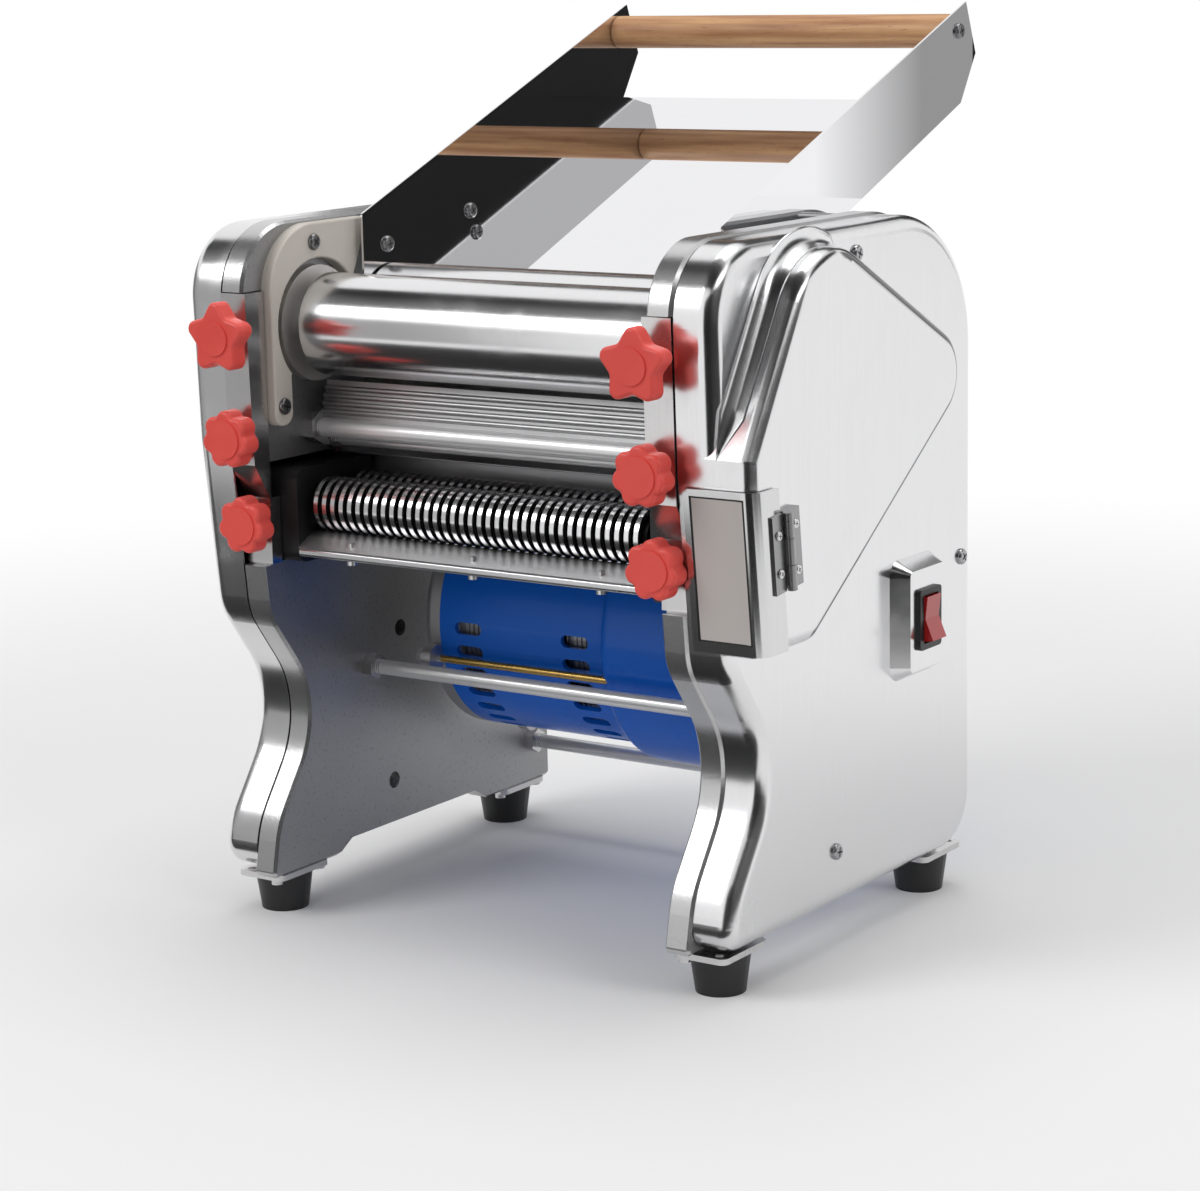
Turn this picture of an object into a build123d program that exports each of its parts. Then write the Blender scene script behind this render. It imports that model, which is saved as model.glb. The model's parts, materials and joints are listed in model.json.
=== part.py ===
from build123d import *
import math
import os

os.makedirs("parts", exist_ok=True)

# Electric table-top pasta machine, millimetres.
# Machine frame: x to the right, y to the rear, z up, x = 0 midway between the side frames,
# y = 0 midway between the feet. The origin of the part is the bottom centre of its box.

# One overrun serves every cut that runs past a face
overrun = 5.0
# Running fit of a shaft, slack of a sliding block, rest gap between pieces that move apart
running_gap = 0.05
slide_gap = 0.1
rest_gap = 0.3
# A pressed fit leaves this little between two solids
press_gap = 0.02

# Side frames: thickness, distance apart, and the corners of their outline
frame_gap = 240.0
frame_thickness = 14.0
frame_top = 360.0
frame_bottom = 22.5
# Drops of the roller axes and of the kink below the frames' top
roller_drop = 53.0
kink_drop = 110.0
frame_front = 132.0
frame_rear = 122.0
# Corners of the front edge: how far back each lies, and its rise over the one below
kink_inset = 3.0
shoulder_inset = 12.0
shoulder_rise = 55.0
waist_inset = 52.0
waist_rise = 55.0
knee_inset = 13.0
knee_rise = 28.5
toe_inset = 7.0
top_front_radius = 36.0
top_rear_radius = 70.0
kink_radius = 40.0
shoulder_radius = 30.0
waist_radius = 48.0
knee_radius = 46.0
frame_corner_radius = 3.0
# Raised stretch of the frame's underside, between the two foot pads
arch_front = 72.0
arch_rear = 62.0
arch_height = 7.0
arch_slope = 12.0
frame_edge_round = 1.5

# Covers: pressed sheet over each frame's outside
sheet = 1.2
cover_inset = 1.0
cover_seam = 0.5
right_cover_depth = 21.0
left_cover_depth = 23.0
cover_bottom = 24.5
cover_edge_round = 8.0
cover_toe_radius = 12.0
cover_heel_radius = 28.0

# Drive bulge of the right cover
# Its crown, nose and heel are arcs placed from the gear axes that it covers
bulge_depth = 40.0
bulge_foot_drop = 47.0
bulge_brow_rise = 13.0
bulge_crown_shift = (-23.0, 2.0)
bulge_nose_shift = (28.6, -10.0)
bulge_heel_lead = 10.3
bulge_crown_radius = 44.0
bulge_nose_radius = 24.0
bulge_heel_radius = 14.0
bulge_foot_radius = 2.0
bulge_edge_round = 7.0

# Switch box on the right cover, and the rocker switch in it
switch_place = (55.0, 157.0)
switch_box_width = 46.0
switch_box_height = 62.0
switch_box_rise = 9.0
switch_box_taper = 30.0
switch_box_corner = 8.0
switch_bezel_width = 22.0
switch_bezel_height = 31.0
switch_bezel_thickness = 2.0
switch_body_width = 19.0
switch_body_height = 27.5
switch_body_depth = 12.5
rocker_width = 14.0
rocker_length = 22.5
rocker_end_rise = 5.5
rocker_mid_rise = 2.6
rocker_skirt = 4.0
rocker_sink = 2.0
rocker_lean = 8.0
rocker_slack = 0.5

# Rollers: the pair at the top that sheets the dough
roller_radius = 26.0
roller_end_gap = 13.5
roller_nip = 0.5
roller_depth = 54.0
journal_radius = 9.0
bush_radius = 13.0
roller_travel = 3.0

# Bearing blocks of the front roller, in open-front slots of the frames
block_half_height = 20.0
block_setback = 9.0
block_tail = 21.0
block_flange_radius = 29.5
block_flange_thickness = 5.3
block_thread_depth = 16.0

# Front bars, clamp blocks and the frame's front recess
recess_depth = 15.0
recess_sill = 1.0
bar_width = 16.0
bar_bottom_rise = 5.0
bar_tip = 1.0
clamp_depth = 7.5
cassette_slot_drop = 29.0
cassette_slot_rise = 23.0
cassette_slot_gap = 2.0

# Guards of white plastic round the front roller's ends
guard_thickness = 6.6
guard_inset = 16.0
guard_drop = 49.0
guard_top_gap = 2.0
guard_tail = 42.0
guard_slant = 14.0
guard_slant_height = 30.0
guard_lobe_width = 14.0
guard_lobe_height = 25.0
guard_bore_radius = 33.0
guard_top_radius = 34.0
guard_lobe_radius = 6.5
guard_corner_radius = 2.0
guard_edge_round = 1.2
# Its screws, from the roller's axis and the top edge, and from its front lower corner
guard_top_screw_shift = (-3.7, -9.6)
guard_low_screw_shift = (6.5, 10.0)

# Cutters, their cassette and combs
cutter_radius = 14.0
cutter_groove_radius = 10.5
cutter_shaft_radius = 6.0
cutter_spacing = 26.0
cutter_lead = 14.0
cutter_drop = 90.0
ring_pitch = 5.4
ring_margin = 7.0
ring_side_gap = 0.15
cassette_inset = 13.0
cassette_setback = 7.0
cassette_top_gap = 4.0
cassette_tail = 18.0
cassette_corner = 6.0
comb_thickness = 1.2
comb_foot_drop = 21.5
comb_foot_reach = 18.0
comb_tip_reach = 1.0
comb_ring_gap = 0.6
comb_groove_gap = 0.8
comb_side_gap = 0.25
comb_bar_width = 8.0
comb_bar_drop = 4.0
comb_bar_round = 1.6
comb_screw_stub = 1.6
comb_screw_radius = 1.5
comb_screw_head_radius = 2.8
comb_screw_head = 2.0
comb_screw_spacing = 76.0

# Guide sheets between the rollers and the cutters
front_guide_gap = 8.0
guide_thickness = 1.2
guide_bead_radius = 1.4
guide_bead_count = 4
# Their corners, from the roller axes and from the rear cutter's axis
front_guide_top_shift = (2.5, -29.5)
front_guide_bottom_shift = (-2.5, -49.0)
rear_guide_top_shift = (-7.5, -28.5)
rear_guide_knee_shift = (20.0, 29.0)
rear_guide_bottom_shift = (7.0, 20.8)
rear_guide_apron = 32.0

# Rods between the frames: (y, z), radius
low_rod_radius = 4.0
front_rod_place = (-41.0, 120.0)
rear_rod_shift = (19.0, 25.0)
upper_rod_radius = 5.0
upper_rod_shift = (-4.0, -53.0)
guide_rod_radius = 3.0
guide_rod_shift = (10.0, -61.0)
rod_seat_depth = 10.0
nut_share = 1.75
nut_height_share = 1.6

# Motor, axis along x low between the frames
motor_place = (40.0, 142.0)
motor_radius = 65.0
motor_wall = 3.0
motor_gap = 36.0
gearcase_radius = 72.0
gearcase_length = 99.0
gearcase_edge_round = 6.0
end_bell_length = 11.0
end_bell_round = 5.0
vent_length = 17.0
vent_width = 6.5
vent_margin = 18.5
vent_first_angle = 180.0
vent_step_angle = 11.2
vent_count = 9
motor_bolt_radius = 2.0
motor_bolt_gap = 2.8
motor_bolt_seat = 8.0
motor_lug_radius = 7.0
motor_lug_thickness = 6.0
motor_bolt_angles = (14.0, 104.0, 194.0, 284.0)
motor_nut_across = 9.0
motor_shaft_radius = 7.0
motor_shaft_depth = 40.0
motor_hole_radius = 19.0

# Gear train in the right cover, belt behind it, synchronising gears in the left cover
gear_module = 2.0
roller_gear_teeth = 28
pinion_teeth = 20
idler_spare_teeth = 1
cutter_gear_teeth = 13
sync_teeth = 20
gear_shift = 22.5
gear_width = 12.0
sync_width = 12.0
sync_gap = 3.0
pinion_heading = -19.6
pressure_angle = 25.0
addendum_share = 0.9
dedendum_share = 1.2
gear_backlash = 0.3
gear_hub_radius = 11.0
axle_radius = 6.0
axle_head_radius = 9.0
axle_head = 2.0
axle_seat = 12.0
belt_shift = 4.5
belt_width = 8.0
belt_thickness = 4.6
belt_gap = 0.4
pulley_flange = 2.4
pulley_rim = 1.0
large_pulley_radius = 29.4
motor_pulley_radius = 11.4
hub_clearance = 1.0

# Chute: mirror sheets rising to the rear, wooden bar at the top
# Places here are shifts from the rear roller's axis and the frames' top
chute_gap = 12.0
pan_front_shift = (21.0, -32.5)
pan_rear_shift = (218.9, 47.3)
tip_rear_shift = (236.0, 71.8)
tip_top_shift = (225.1, 99.2)
side_front_lead = 22.5
side_front_drop = 34.0
side_heel_shift = (17.5, -35.0)
chute_screw_shifts = ((-2.5, -17.0), (70.5, -5.5))
chute_boss_radius = 5.0
carry_bar_shift = (216.5, 84.0)
carry_bar_radius = 9.0
carry_bar_round = 1.5

# Feet and their plates
foot_outset = 1.5
foot_y = 98.7
foot_height = 19.5
foot_bottom_radius = 12.3
foot_top_radius = 15.0
foot_bore_radius = 5.5
foot_bore_depth = 10.0
foot_plate_width = 30.0
foot_plate_length = 40.0
foot_plate_corner = 4.0
foot_plate_hole_radius = 2.2
foot_plate_hole_shift = (9.0, 15.0)
plate_screw_shift = (9.5, 17.0)
foot_screw_radius = 3.0
foot_screw_head_radius = 5.0
foot_screw_head = 3.0

# Small screws with domed heads
screw_radius = 2.0
screw_head_radius = 4.2
screw_head = 2.2
screw_depth = 9.0
screw_dome_share = 0.8
# Screws of the covers, and the round holes in the frames' inner faces
cover_screw_seat = 7.0
cover_top_screw = (0.0, 15.0)
cover_rear_screw = (14.5, 178.5)
cover_low_screw = (-22.5, 52.5)
frame_hole_place = (-13.0, 135.0)
frame_hole_radius = 4.5
frame_dimple_depth = 5.0

# Knobs, each with a steel stud
knob_inset = 10.5
stud_radius = 3.0
star_drop = 1.0
star_gap = 5.5
star_tip_radius = 21.5
star_valley_radius = 12.5
star_lobes = 5
star_round = 4.2
star_thickness = 11.0
mid_drop = 52.0
mid_gap = 1.9
low_drop = 7.0
low_gap = 4.0
grip_ring_radius = 9.4
grip_lobe_radius = 5.2
grip_lobes = 7
grip_round = 2.0
grip_thickness = 11.2
knob_disc_rise = 0.8
star_disc_radius = 8.5
grip_disc_radius = 9.6
knob_edge_round = 2.0
knob_bore_depth = 7.0
knob_neck_radius = 7.0
knob_neck = 3.0

# Door over the cassette gears, on the bulge's front
door_gap = 0.8
door_sheet = 1.5
door_bottom_gap = 1.5
door_top_gap = 1.0
door_side_gap = 0.8
door_left_gap = 3.7
door_flange = 19.0
door_corner_round = 8.0
door_recess = 0.5
door_rim = 3.2
door_rim_right = 9.0
door_rim_bottom = 5.0
door_opening_margin = 7.0
hinge_length = 37.0
hinge_leaf_width = 9.0
hinge_leaf_thickness = 1.2
hinge_barrel_radius = 2.4
hinge_pin_radius = 1.2
hinge_knuckle_gap = 0.3
hinge_rise = 47.5

# Corners of the frames' front edge
kink_front = frame_front - kink_inset
shoulder_front = frame_front - shoulder_inset
waist_front = frame_front - waist_inset
knee_front = frame_front - knee_inset
toe_front = frame_front - toe_inset
knee_height = frame_bottom + knee_rise
waist_height = knee_height + waist_rise
shoulder_height = waist_height + shoulder_rise

# Places of the upper pieces in (y, z), from the frames' top and front
kink_height = frame_top - kink_drop
roller_place = (roller_depth - frame_front, frame_top - roller_drop)
rear_roller_place = (roller_place[0] + 2 * roller_radius + roller_nip, roller_place[1])
cutter_place = (roller_place[0] - cutter_lead, roller_place[1] - cutter_drop)
rear_cutter_place = (cutter_place[0] + cutter_spacing, cutter_place[1])
nip_y = cutter_place[0] + cutter_spacing / 2


def beside(place, shift):
    # A place at a shift from another one
    return (place[0] + shift[0], place[1] + shift[1])


recess_front = frame_front - recess_depth
guard_front = frame_front - guard_inset
guard_rear = -roller_place[0] - guard_tail
block_front = recess_front - block_setback
block_rear = -roller_place[0] - block_tail
cassette_front = recess_front - cassette_setback
cassette_rear = -rear_cutter_place[0] - cassette_tail
cassette_slot_rear = cassette_rear - cassette_slot_gap
cassette_slot_bottom = cutter_place[1] - cassette_slot_drop
cassette_slot_top = cutter_place[1] + cassette_slot_rise
cassette_top = cassette_slot_top - cassette_top_gap
recess_bottom = cassette_slot_bottom - recess_sill
recess_top = roller_place[1] + block_half_height + slide_gap
bar_bottom = cutter_place[1] + bar_bottom_rise
bar_bevel_height = cassette_slot_top
star_height = roller_place[1] - star_drop
mid_height = roller_place[1] - mid_drop
low_height = cutter_place[1] - low_drop
guard_bottom = roller_place[1] - guard_drop
guard_top = frame_top - guard_top_gap
guard_lobe_top = guard_bottom + guard_lobe_height
guard_screw_places = (
    beside((roller_place[0], guard_top), guard_top_screw_shift),
    beside((-guard_front, guard_bottom), guard_low_screw_shift),
)
front_guide_top = beside(roller_place, front_guide_top_shift)
front_guide_bottom = beside(roller_place, front_guide_bottom_shift)
rear_guide_top = beside(rear_roller_place, rear_guide_top_shift)
rear_guide_knee = beside(rear_cutter_place, rear_guide_knee_shift)
rear_guide_bottom = beside(rear_cutter_place, rear_guide_bottom_shift)
rear_rod_place = (frame_rear - rear_rod_shift[0], frame_bottom + rear_rod_shift[1])
upper_rod_place = beside(roller_place, upper_rod_shift)
guide_rod_place = beside(roller_place, guide_rod_shift)
frame_summit = (rear_roller_place[0], frame_top)
pan_front = beside(frame_summit, pan_front_shift)
pan_rear = beside(frame_summit, pan_rear_shift)
side_tip_rear = beside(frame_summit, tip_rear_shift)
side_tip_top = beside(frame_summit, tip_top_shift)
side_heel = beside(frame_summit, side_heel_shift)
chute_screw_places = [beside(frame_summit, shift) for shift in chute_screw_shifts]
carry_bar_place = beside(frame_summit, carry_bar_shift)
cover_screw_places = (
    (cover_top_screw[0], frame_top - cover_top_screw[1]),
    (frame_rear - cover_rear_screw[0], cover_rear_screw[1]),
    cover_low_screw,
)
bulge_bottom = cutter_place[1] - bulge_foot_drop
door_bottom = bulge_bottom + door_bottom_gap
door_top = kink_height - door_top_gap
hinge_mid_height = door_bottom + hinge_rise

# Outer reach on each side, which sets the origin at the bottom centre of the box
frame_inner = frame_gap / 2
frame_outer = frame_inner + frame_thickness
cover_x = frame_outer + cover_seam
roller_half_length = frame_inner - roller_end_gap
chute_inner = frame_inner - chute_gap
cassette_inner = frame_inner - cassette_inset
front_guide_half_length = frame_inner - front_guide_gap
ring_count = math.floor(2 * (cassette_inner - ring_margin) / ring_pitch)
motor_left = frame_inner - motor_gap
gearcase_left = frame_inner - gearcase_length
vent_columns = (vent_margin - motor_left, gearcase_left - vent_margin)
foot_x = frame_outer + foot_outset
knob_x = frame_outer - knob_inset
gear_left = cover_x + gear_shift
belt_left = cover_x + belt_shift
right_face = cover_x + right_cover_depth
left_face = cover_x + left_cover_depth
bulge_face = cover_x + bulge_depth
hinge_x = bulge_face + door_side_gap + door_sheet + hinge_barrel_radius
right_reach = hinge_x + hinge_barrel_radius
left_reach = left_face + screw_head
mid_x = (left_reach - right_reach) / 2


def bar_front(height):
    # Front face of the front bars, flush with the frame's edge above and below the recess
    share = (height - kink_height) / kink_drop
    return (-kink_front - kink_inset * share, height)


clamp_front = recess_front + bar_tip
star_front = -bar_front(star_height)[0] + star_gap + knob_neck + star_thickness
mid_front = -bar_front(mid_height)[0] + mid_gap + knob_neck + grip_thickness + knob_disc_rise
low_front = clamp_front + low_gap + knob_neck + grip_thickness + knob_disc_rise
mid_y = (star_front - side_tip_rear[0]) / 2


def at(x, place):
    # A point of the machine, from its x and its (y, z)
    return (mid_x + x, mid_y + place[0], place[1])


def side(x):
    # Plane across the machine: sketches on it are in (y, z), and it faces right
    return Plane(origin=(mid_x + x, mid_y, 0), x_dir=(0, 1, 0), z_dir=(1, 0, 0))


def front(y):
    # Plane that faces the front: sketches on it are in (x, z)
    return Plane(origin=(mid_x, mid_y + y, 0), x_dir=(1, 0, 0), z_dir=(0, -1, 0))


def level(z):
    # Level plane: sketches on it are in (x, y)
    return Plane(origin=(mid_x, mid_y, z))


def rod(x_from, x_to, place, radius):
    # Round bar along x
    with BuildPart() as bar:
        with BuildSketch(side(x_from)):
            with Locations(place):
                Circle(radius)
        extrude(amount=x_to - x_from)
    return bar.part


def plug(y_front, y_rear, place, radius):
    # Round bar along y, at an (x, z)
    with BuildPart() as bar:
        with BuildSketch(front(y_rear)):
            with Locations(place):
                Circle(radius)
        extrude(amount=y_rear - y_front)
    return bar.part


def outline(points, radii):
    # Closed outline with rounded corners
    with BuildSketch() as shape:
        with BuildLine():
            FilletPolyline(*points, radius=radii, close=True)
        make_face()
    return shape.sketch


def slab(shape, x_from, x_to):
    # A shape in (y, z), as thick as from one x to the other
    with BuildPart() as body:
        with BuildSketch(side(x_from)):
            add(shape)
        extrude(amount=x_to - x_from)
    return body.part


def front_line(height, inset):
    # Front edge of the frames' outline below the kink
    share = (height - shoulder_height) / (kink_height - shoulder_height)
    return (-shoulder_front - (kink_front - shoulder_front) * share + inset, height)


def side_outline(inset, bottom, toe_radius, heel_radius):
    # Outline shared by the frames and the covers, drawn in by the inset
    points = [
        (frame_rear - inset, bottom),
        (frame_rear - inset, frame_top - inset),
        (-frame_front + inset, frame_top - inset),
        (-kink_front + inset, kink_height),
        (-shoulder_front + inset, shoulder_height),
        (-waist_front + inset, waist_height),
        (-knee_front + inset, knee_height),
        (-toe_front + inset, bottom),
    ]
    radii = [heel_radius, top_rear_radius, top_front_radius, kink_radius]
    radii += [shoulder_radius, waist_radius, knee_radius, toe_radius]
    return outline(points, radii)


def edge_faces(body, x_sign):
    # Outermost flat face of a body on one side
    return body.faces().filter_by(Axis.X).sort_by(Axis.X)[-1 if x_sign > 0 else 0]


def nut(x_from, x_to, place, corner_radius):
    # Hexagon nut along x
    with BuildPart() as body:
        with BuildSketch(side(x_from)):
            with Locations(place):
                RegularPolygon(corner_radius, 6, rotation=30)
        extrude(amount=x_to - x_from)
    return body.part


def domed_screw(x_seat, place, sign, depth):
    # Screw with a low domed head, seated at x and pointing out along the sign
    with BuildPart() as body:
        add(rod(*sorted((x_seat, x_seat + sign * screw_head)), place, screw_head_radius))
        rim = body.edges().filter_by(GeomType.CIRCLE).sort_by(Axis.X)[-1 if sign > 0 else 0]
        fillet(rim, radius=screw_head * screw_dome_share)
        add(rod(*sorted((x_seat, x_seat - sign * depth)), place, screw_radius - press_gap))
    return body.part


def gear_profile(teeth, module, phase):
    # Involute gear in (y, z) about its own centre, with a tooth at the phase angle
    pitch = module * teeth / 2
    base = pitch * math.cos(math.radians(pressure_angle))
    tip = pitch + addendum_share * module
    root = pitch - dedendum_share * module
    foot = root - gear_backlash

    def half_angle(radius):
        turn = math.acos(min(base / radius, 1.0))
        lead = math.tan(math.radians(pressure_angle)) - math.radians(pressure_angle)
        thickness = (math.pi * module / 2 - gear_backlash) / (2 * pitch)
        return thickness + lead - (math.tan(turn) - turn)

    def flank(radius, way):
        angle = way * half_angle(radius)
        return (radius * math.cos(angle), radius * math.sin(angle))

    low = max(base, root)
    middle = (low + tip) / 2
    with BuildSketch() as tooth:
        with BuildLine():
            Line((foot * math.cos(half_angle(low)), -foot * math.sin(half_angle(low))), flank(low, -1))
            ThreePointArc(flank(low, -1), flank(middle, -1), flank(tip, -1))
            ThreePointArc(flank(tip, -1), (tip, 0), flank(tip, 1))
            ThreePointArc(flank(tip, 1), flank(middle, 1), flank(low, 1))
            Line(flank(low, 1), (foot * math.cos(half_angle(low)), foot * math.sin(half_angle(low))))
            Line(
                (foot * math.cos(half_angle(low)), foot * math.sin(half_angle(low))),
                (foot * math.cos(half_angle(low)), -foot * math.sin(half_angle(low))),
            )
        make_face()
    with BuildSketch() as profile:
        Circle(root)
        with PolarLocations(0, teeth, start_angle=phase):
            add(tooth.sketch)
    return profile.sketch


def gear(teeth, module, phase, place, x_from, x_to, bore):
    # Spur gear on an axis along x
    with BuildPart() as body:
        with BuildSketch(side(x_from)):
            with Locations(place):
                add(gear_profile(teeth, module, phase))
        extrude(amount=x_to - x_from)
        add(rod(x_from - overrun, x_to + overrun, place, bore), mode=Mode.SUBTRACT)
    return body.part


def mesh_phase(phase, teeth, other_teeth, heading):
    # Phase of a gear that meshes with another one along the heading
    return heading + 180 + (heading - phase) * teeth / other_teeth + 180 / other_teeth


def step_to(place, heading, reach):
    # Place at a distance from another one, along a heading in (y, z)
    turn = math.radians(heading)
    return (place[0] + reach * math.cos(turn), place[1] + reach * math.sin(turn))


def heading_of(start, end):
    return math.degrees(math.atan2(end[1] - start[1], end[0] - start[0]))


# Axes of the drive, from the roller's place
roller_gear_radius = gear_module * roller_gear_teeth / 2
cutter_gear_radius = gear_module * cutter_gear_teeth / 2
pinion_radius = gear_module * pinion_teeth / 2
pinion_place = step_to(rear_roller_place, pinion_heading, roller_gear_radius + pinion_radius)
# The idler bridges the roller gear and the rear cutter's gear, with a tooth or so to spare
cutter_reach = math.dist(rear_roller_place, rear_cutter_place)
idler_bridge = cutter_reach - roller_gear_radius - cutter_gear_radius
idler_teeth = math.ceil(idler_bridge / gear_module) + idler_spare_teeth
idler_radius = gear_module * idler_teeth / 2
idler_reach = roller_gear_radius + idler_radius
idler_span = idler_radius + cutter_gear_radius
idler_bend = math.degrees(
    math.acos((idler_reach**2 + cutter_reach**2 - idler_span**2) / (2 * idler_reach * cutter_reach))
)
idler_heading = heading_of(rear_roller_place, rear_cutter_place) + idler_bend
idler_place = step_to(rear_roller_place, idler_heading, idler_reach)
sync_module = (2 * roller_radius + roller_nip) / sync_teeth
gear_right = gear_left + gear_width
sync_right = -cover_x - sync_gap
sync_left = sync_right - sync_width
pinion_phase = mesh_phase(0, roller_gear_teeth, pinion_teeth, pinion_heading)
idler_phase = mesh_phase(0, roller_gear_teeth, idler_teeth, idler_heading)
rear_cutter_heading = heading_of(idler_place, rear_cutter_place)
rear_cutter_phase = mesh_phase(idler_phase, idler_teeth, cutter_gear_teeth, rear_cutter_heading)
front_cutter_phase = mesh_phase(rear_cutter_phase, cutter_gear_teeth, cutter_gear_teeth, 180)
front_sync_phase = mesh_phase(0, sync_teeth, sync_teeth, 180)

# Heights and faces that several pieces share
plate_bottom = foot_height
bar_inner = frame_outer - bar_width
guard_face = frame_inner - guard_thickness
slot_top = roller_place[1] + block_half_height + slide_gap
slot_bottom = roller_place[1] - block_half_height - slide_gap
slot_rear = -block_rear + rest_gap
chute_outer = chute_inner + sheet
stud_bore_radius = stud_radius + running_gap
journal_seat_radius = journal_radius + running_gap


# Side frames
def side_frame(sign):
    with BuildPart() as frame:
        shape = side_outline(0, frame_bottom, frame_corner_radius, frame_corner_radius)
        add(slab(shape, 0, frame_thickness))
        edges = frame.faces().filter_by(Axis.X).edges()
        chamfer(edges, length=frame_edge_round)
        arch = [
            (-arch_front, frame_bottom),
            (-arch_front + arch_slope, frame_bottom + arch_height),
            (arch_rear - arch_slope, frame_bottom + arch_height),
            (arch_rear, frame_bottom),
            (arch_rear, frame_bottom - overrun),
            (-arch_front, frame_bottom - overrun),
        ]
        with BuildSketch(side(-overrun)):
            Polygon(*arch)
            # Recess behind the front bar, slot of the bearing block, slot of the cassette
            with Locations((-recess_front - frame_front / 2, (recess_bottom + recess_top) / 2)):
                Rectangle(frame_front, recess_top - recess_bottom)
            with Locations(((slot_rear - frame_front) / 2, roller_place[1])):
                Rectangle(frame_front + slot_rear, slot_top - slot_bottom)
            cassette_slot_mid = (cassette_slot_bottom + cassette_slot_top) / 2
            with Locations((-(cassette_slot_rear + frame_front) / 2, cassette_slot_mid)):
                Rectangle(frame_front - cassette_slot_rear, cassette_slot_top - cassette_slot_bottom)
            # Bore of the rear bearing
            with Locations(rear_roller_place):
                Circle(bush_radius)
        extrude(amount=frame_thickness + 2 * overrun, mode=Mode.SUBTRACT)
        # Blind seats of the rods, from the inside
        for place, radius in rods:
            add(rod(-overrun, rod_seat_depth, place, radius), mode=Mode.SUBTRACT)
        # Bosses that carry the chute
        for place in chute_screw_places:
            add(rod(chute_outer - frame_inner, 0, place, chute_boss_radius))
            add(
                rod(chute_outer - frame_inner, frame_thickness / 2, place, screw_radius),
                mode=Mode.SUBTRACT,
            )
        for place in guard_screw_places:
            add(rod(-overrun, screw_depth - guard_thickness, place, screw_radius), mode=Mode.SUBTRACT)
        if sign > 0:
            # Right frame only: motor hole and the seats of the two stub axles
            add(
                rod(-overrun, frame_thickness + overrun, motor_place, motor_hole_radius),
                mode=Mode.SUBTRACT,
            )
            for place in (pinion_place, idler_place):
                add(
                    rod(frame_thickness - axle_seat, frame_thickness + overrun, place, axle_radius),
                    mode=Mode.SUBTRACT,
                )
        else:
            # Left frame only: a plain round hole, and a dimple behind the low cover screw
            add(
                rod(-overrun, frame_thickness + overrun, frame_hole_place, frame_hole_radius),
                mode=Mode.SUBTRACT,
            )
            add(rod(-overrun, frame_dimple_depth, cover_low_screw, frame_hole_radius), mode=Mode.SUBTRACT)
        for place in cover_screw_places:
            seat_end = frame_thickness - cover_screw_seat
            add(rod(seat_end, frame_thickness + overrun, place, screw_radius), mode=Mode.SUBTRACT)
    return frame.part


rods = (
    (front_rod_place, low_rod_radius),
    (rear_rod_place, low_rod_radius),
    (upper_rod_place, upper_rod_radius),
    (guide_rod_place, guide_rod_radius),
)


def mirrored(body):
    # The same piece on the other side of the machine's middle plane
    return mirror(body, about=Plane.YZ.offset(mid_x))


def shifted(body, x):
    return body.moved(Location((x, 0, 0)))


with BuildPart() as right_frame:
    add(shifted(side_frame(1), frame_inner))
right_frame.part.label = "right_frame"
export_step(right_frame.part, "parts/right_frame.step")

with BuildPart() as left_frame:
    add(mirrored(shifted(side_frame(-1), frame_inner)))
left_frame.part.label = "left_frame"
export_step(left_frame.part, "parts/left_frame.step")


# Covers
def cover_shell(inset, depth, edge_round):
    # Full body of a plain cover, or of its hollow
    shape = side_outline(cover_inset, cover_bottom, cover_toe_radius, cover_heel_radius)
    with BuildPart() as body:
        with BuildSketch(side(cover_x)):
            add(shape)
            if inset > 0:
                offset(amount=-inset, mode=Mode.REPLACE)
        extrude(amount=depth)
        fillet(edge_faces(body, 1).edges(), radius=edge_round)
    return body.part


def touching_line(start, start_radius, end, end_radius):
    # Line that touches two circles on their outer side: its normal, and its distance from y = z = 0
    lead = math.acos((start_radius - end_radius) / math.dist(start, end))
    turn = math.radians(heading_of(start, end)) + lead
    normal = (math.cos(turn), math.sin(turn))
    return normal, normal[0] * start[0] + normal[1] * start[1] + start_radius


def crossing(line, other):
    # Point where two lines cross
    (a, b), reach = line
    (c, d), other_reach = other
    scale = a * d - b * c
    return ((reach * d - b * other_reach) / scale, (a * other_reach - reach * c) / scale)


def bulge_shell(inset, depth, edge_round):
    # Full body of the drive bulge, or of its hollow
    flank = touching_line(brow, 0, bulge_crown, bulge_crown_radius)
    roof = touching_line(bulge_crown, bulge_crown_radius, bulge_nose, bulge_nose_radius)
    belly = touching_line(bulge_nose, bulge_nose_radius, bulge_heel, bulge_heel_radius)
    points = [
        front_line(bulge_bottom, cover_inset),
        (-kink_front + cover_inset, kink_height),
        brow,
        crossing(flank, roof),
        crossing(roof, belly),
        crossing(belly, ((0, -1), -bulge_bottom)),
    ]
    radii = [bulge_foot_radius, kink_radius, bulge_foot_radius]
    radii += [bulge_crown_radius, bulge_nose_radius, bulge_heel_radius]
    with BuildPart() as body:
        with BuildSketch(side(cover_x)):
            add(outline(points, radii))
            if inset > 0:
                offset(amount=-inset, mode=Mode.REPLACE)
        extrude(amount=depth)
        fillet(edge_faces(body, 1).edges(), radius=edge_round)
    return body.part


# The brow is where the bulge's flank leaves the front edge, above the kink
brow_share = bulge_brow_rise / kink_drop
brow = (
    -kink_front + cover_inset - (frame_front - kink_front) * brow_share,
    kink_height + bulge_brow_rise,
)
bulge_crown = beside(rear_roller_place, bulge_crown_shift)
bulge_nose = beside(pinion_place, bulge_nose_shift)
bulge_heel = (rear_cutter_place[0] - bulge_heel_lead, bulge_bottom + bulge_heel_radius)
inner_round = cover_edge_round - sheet

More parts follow.
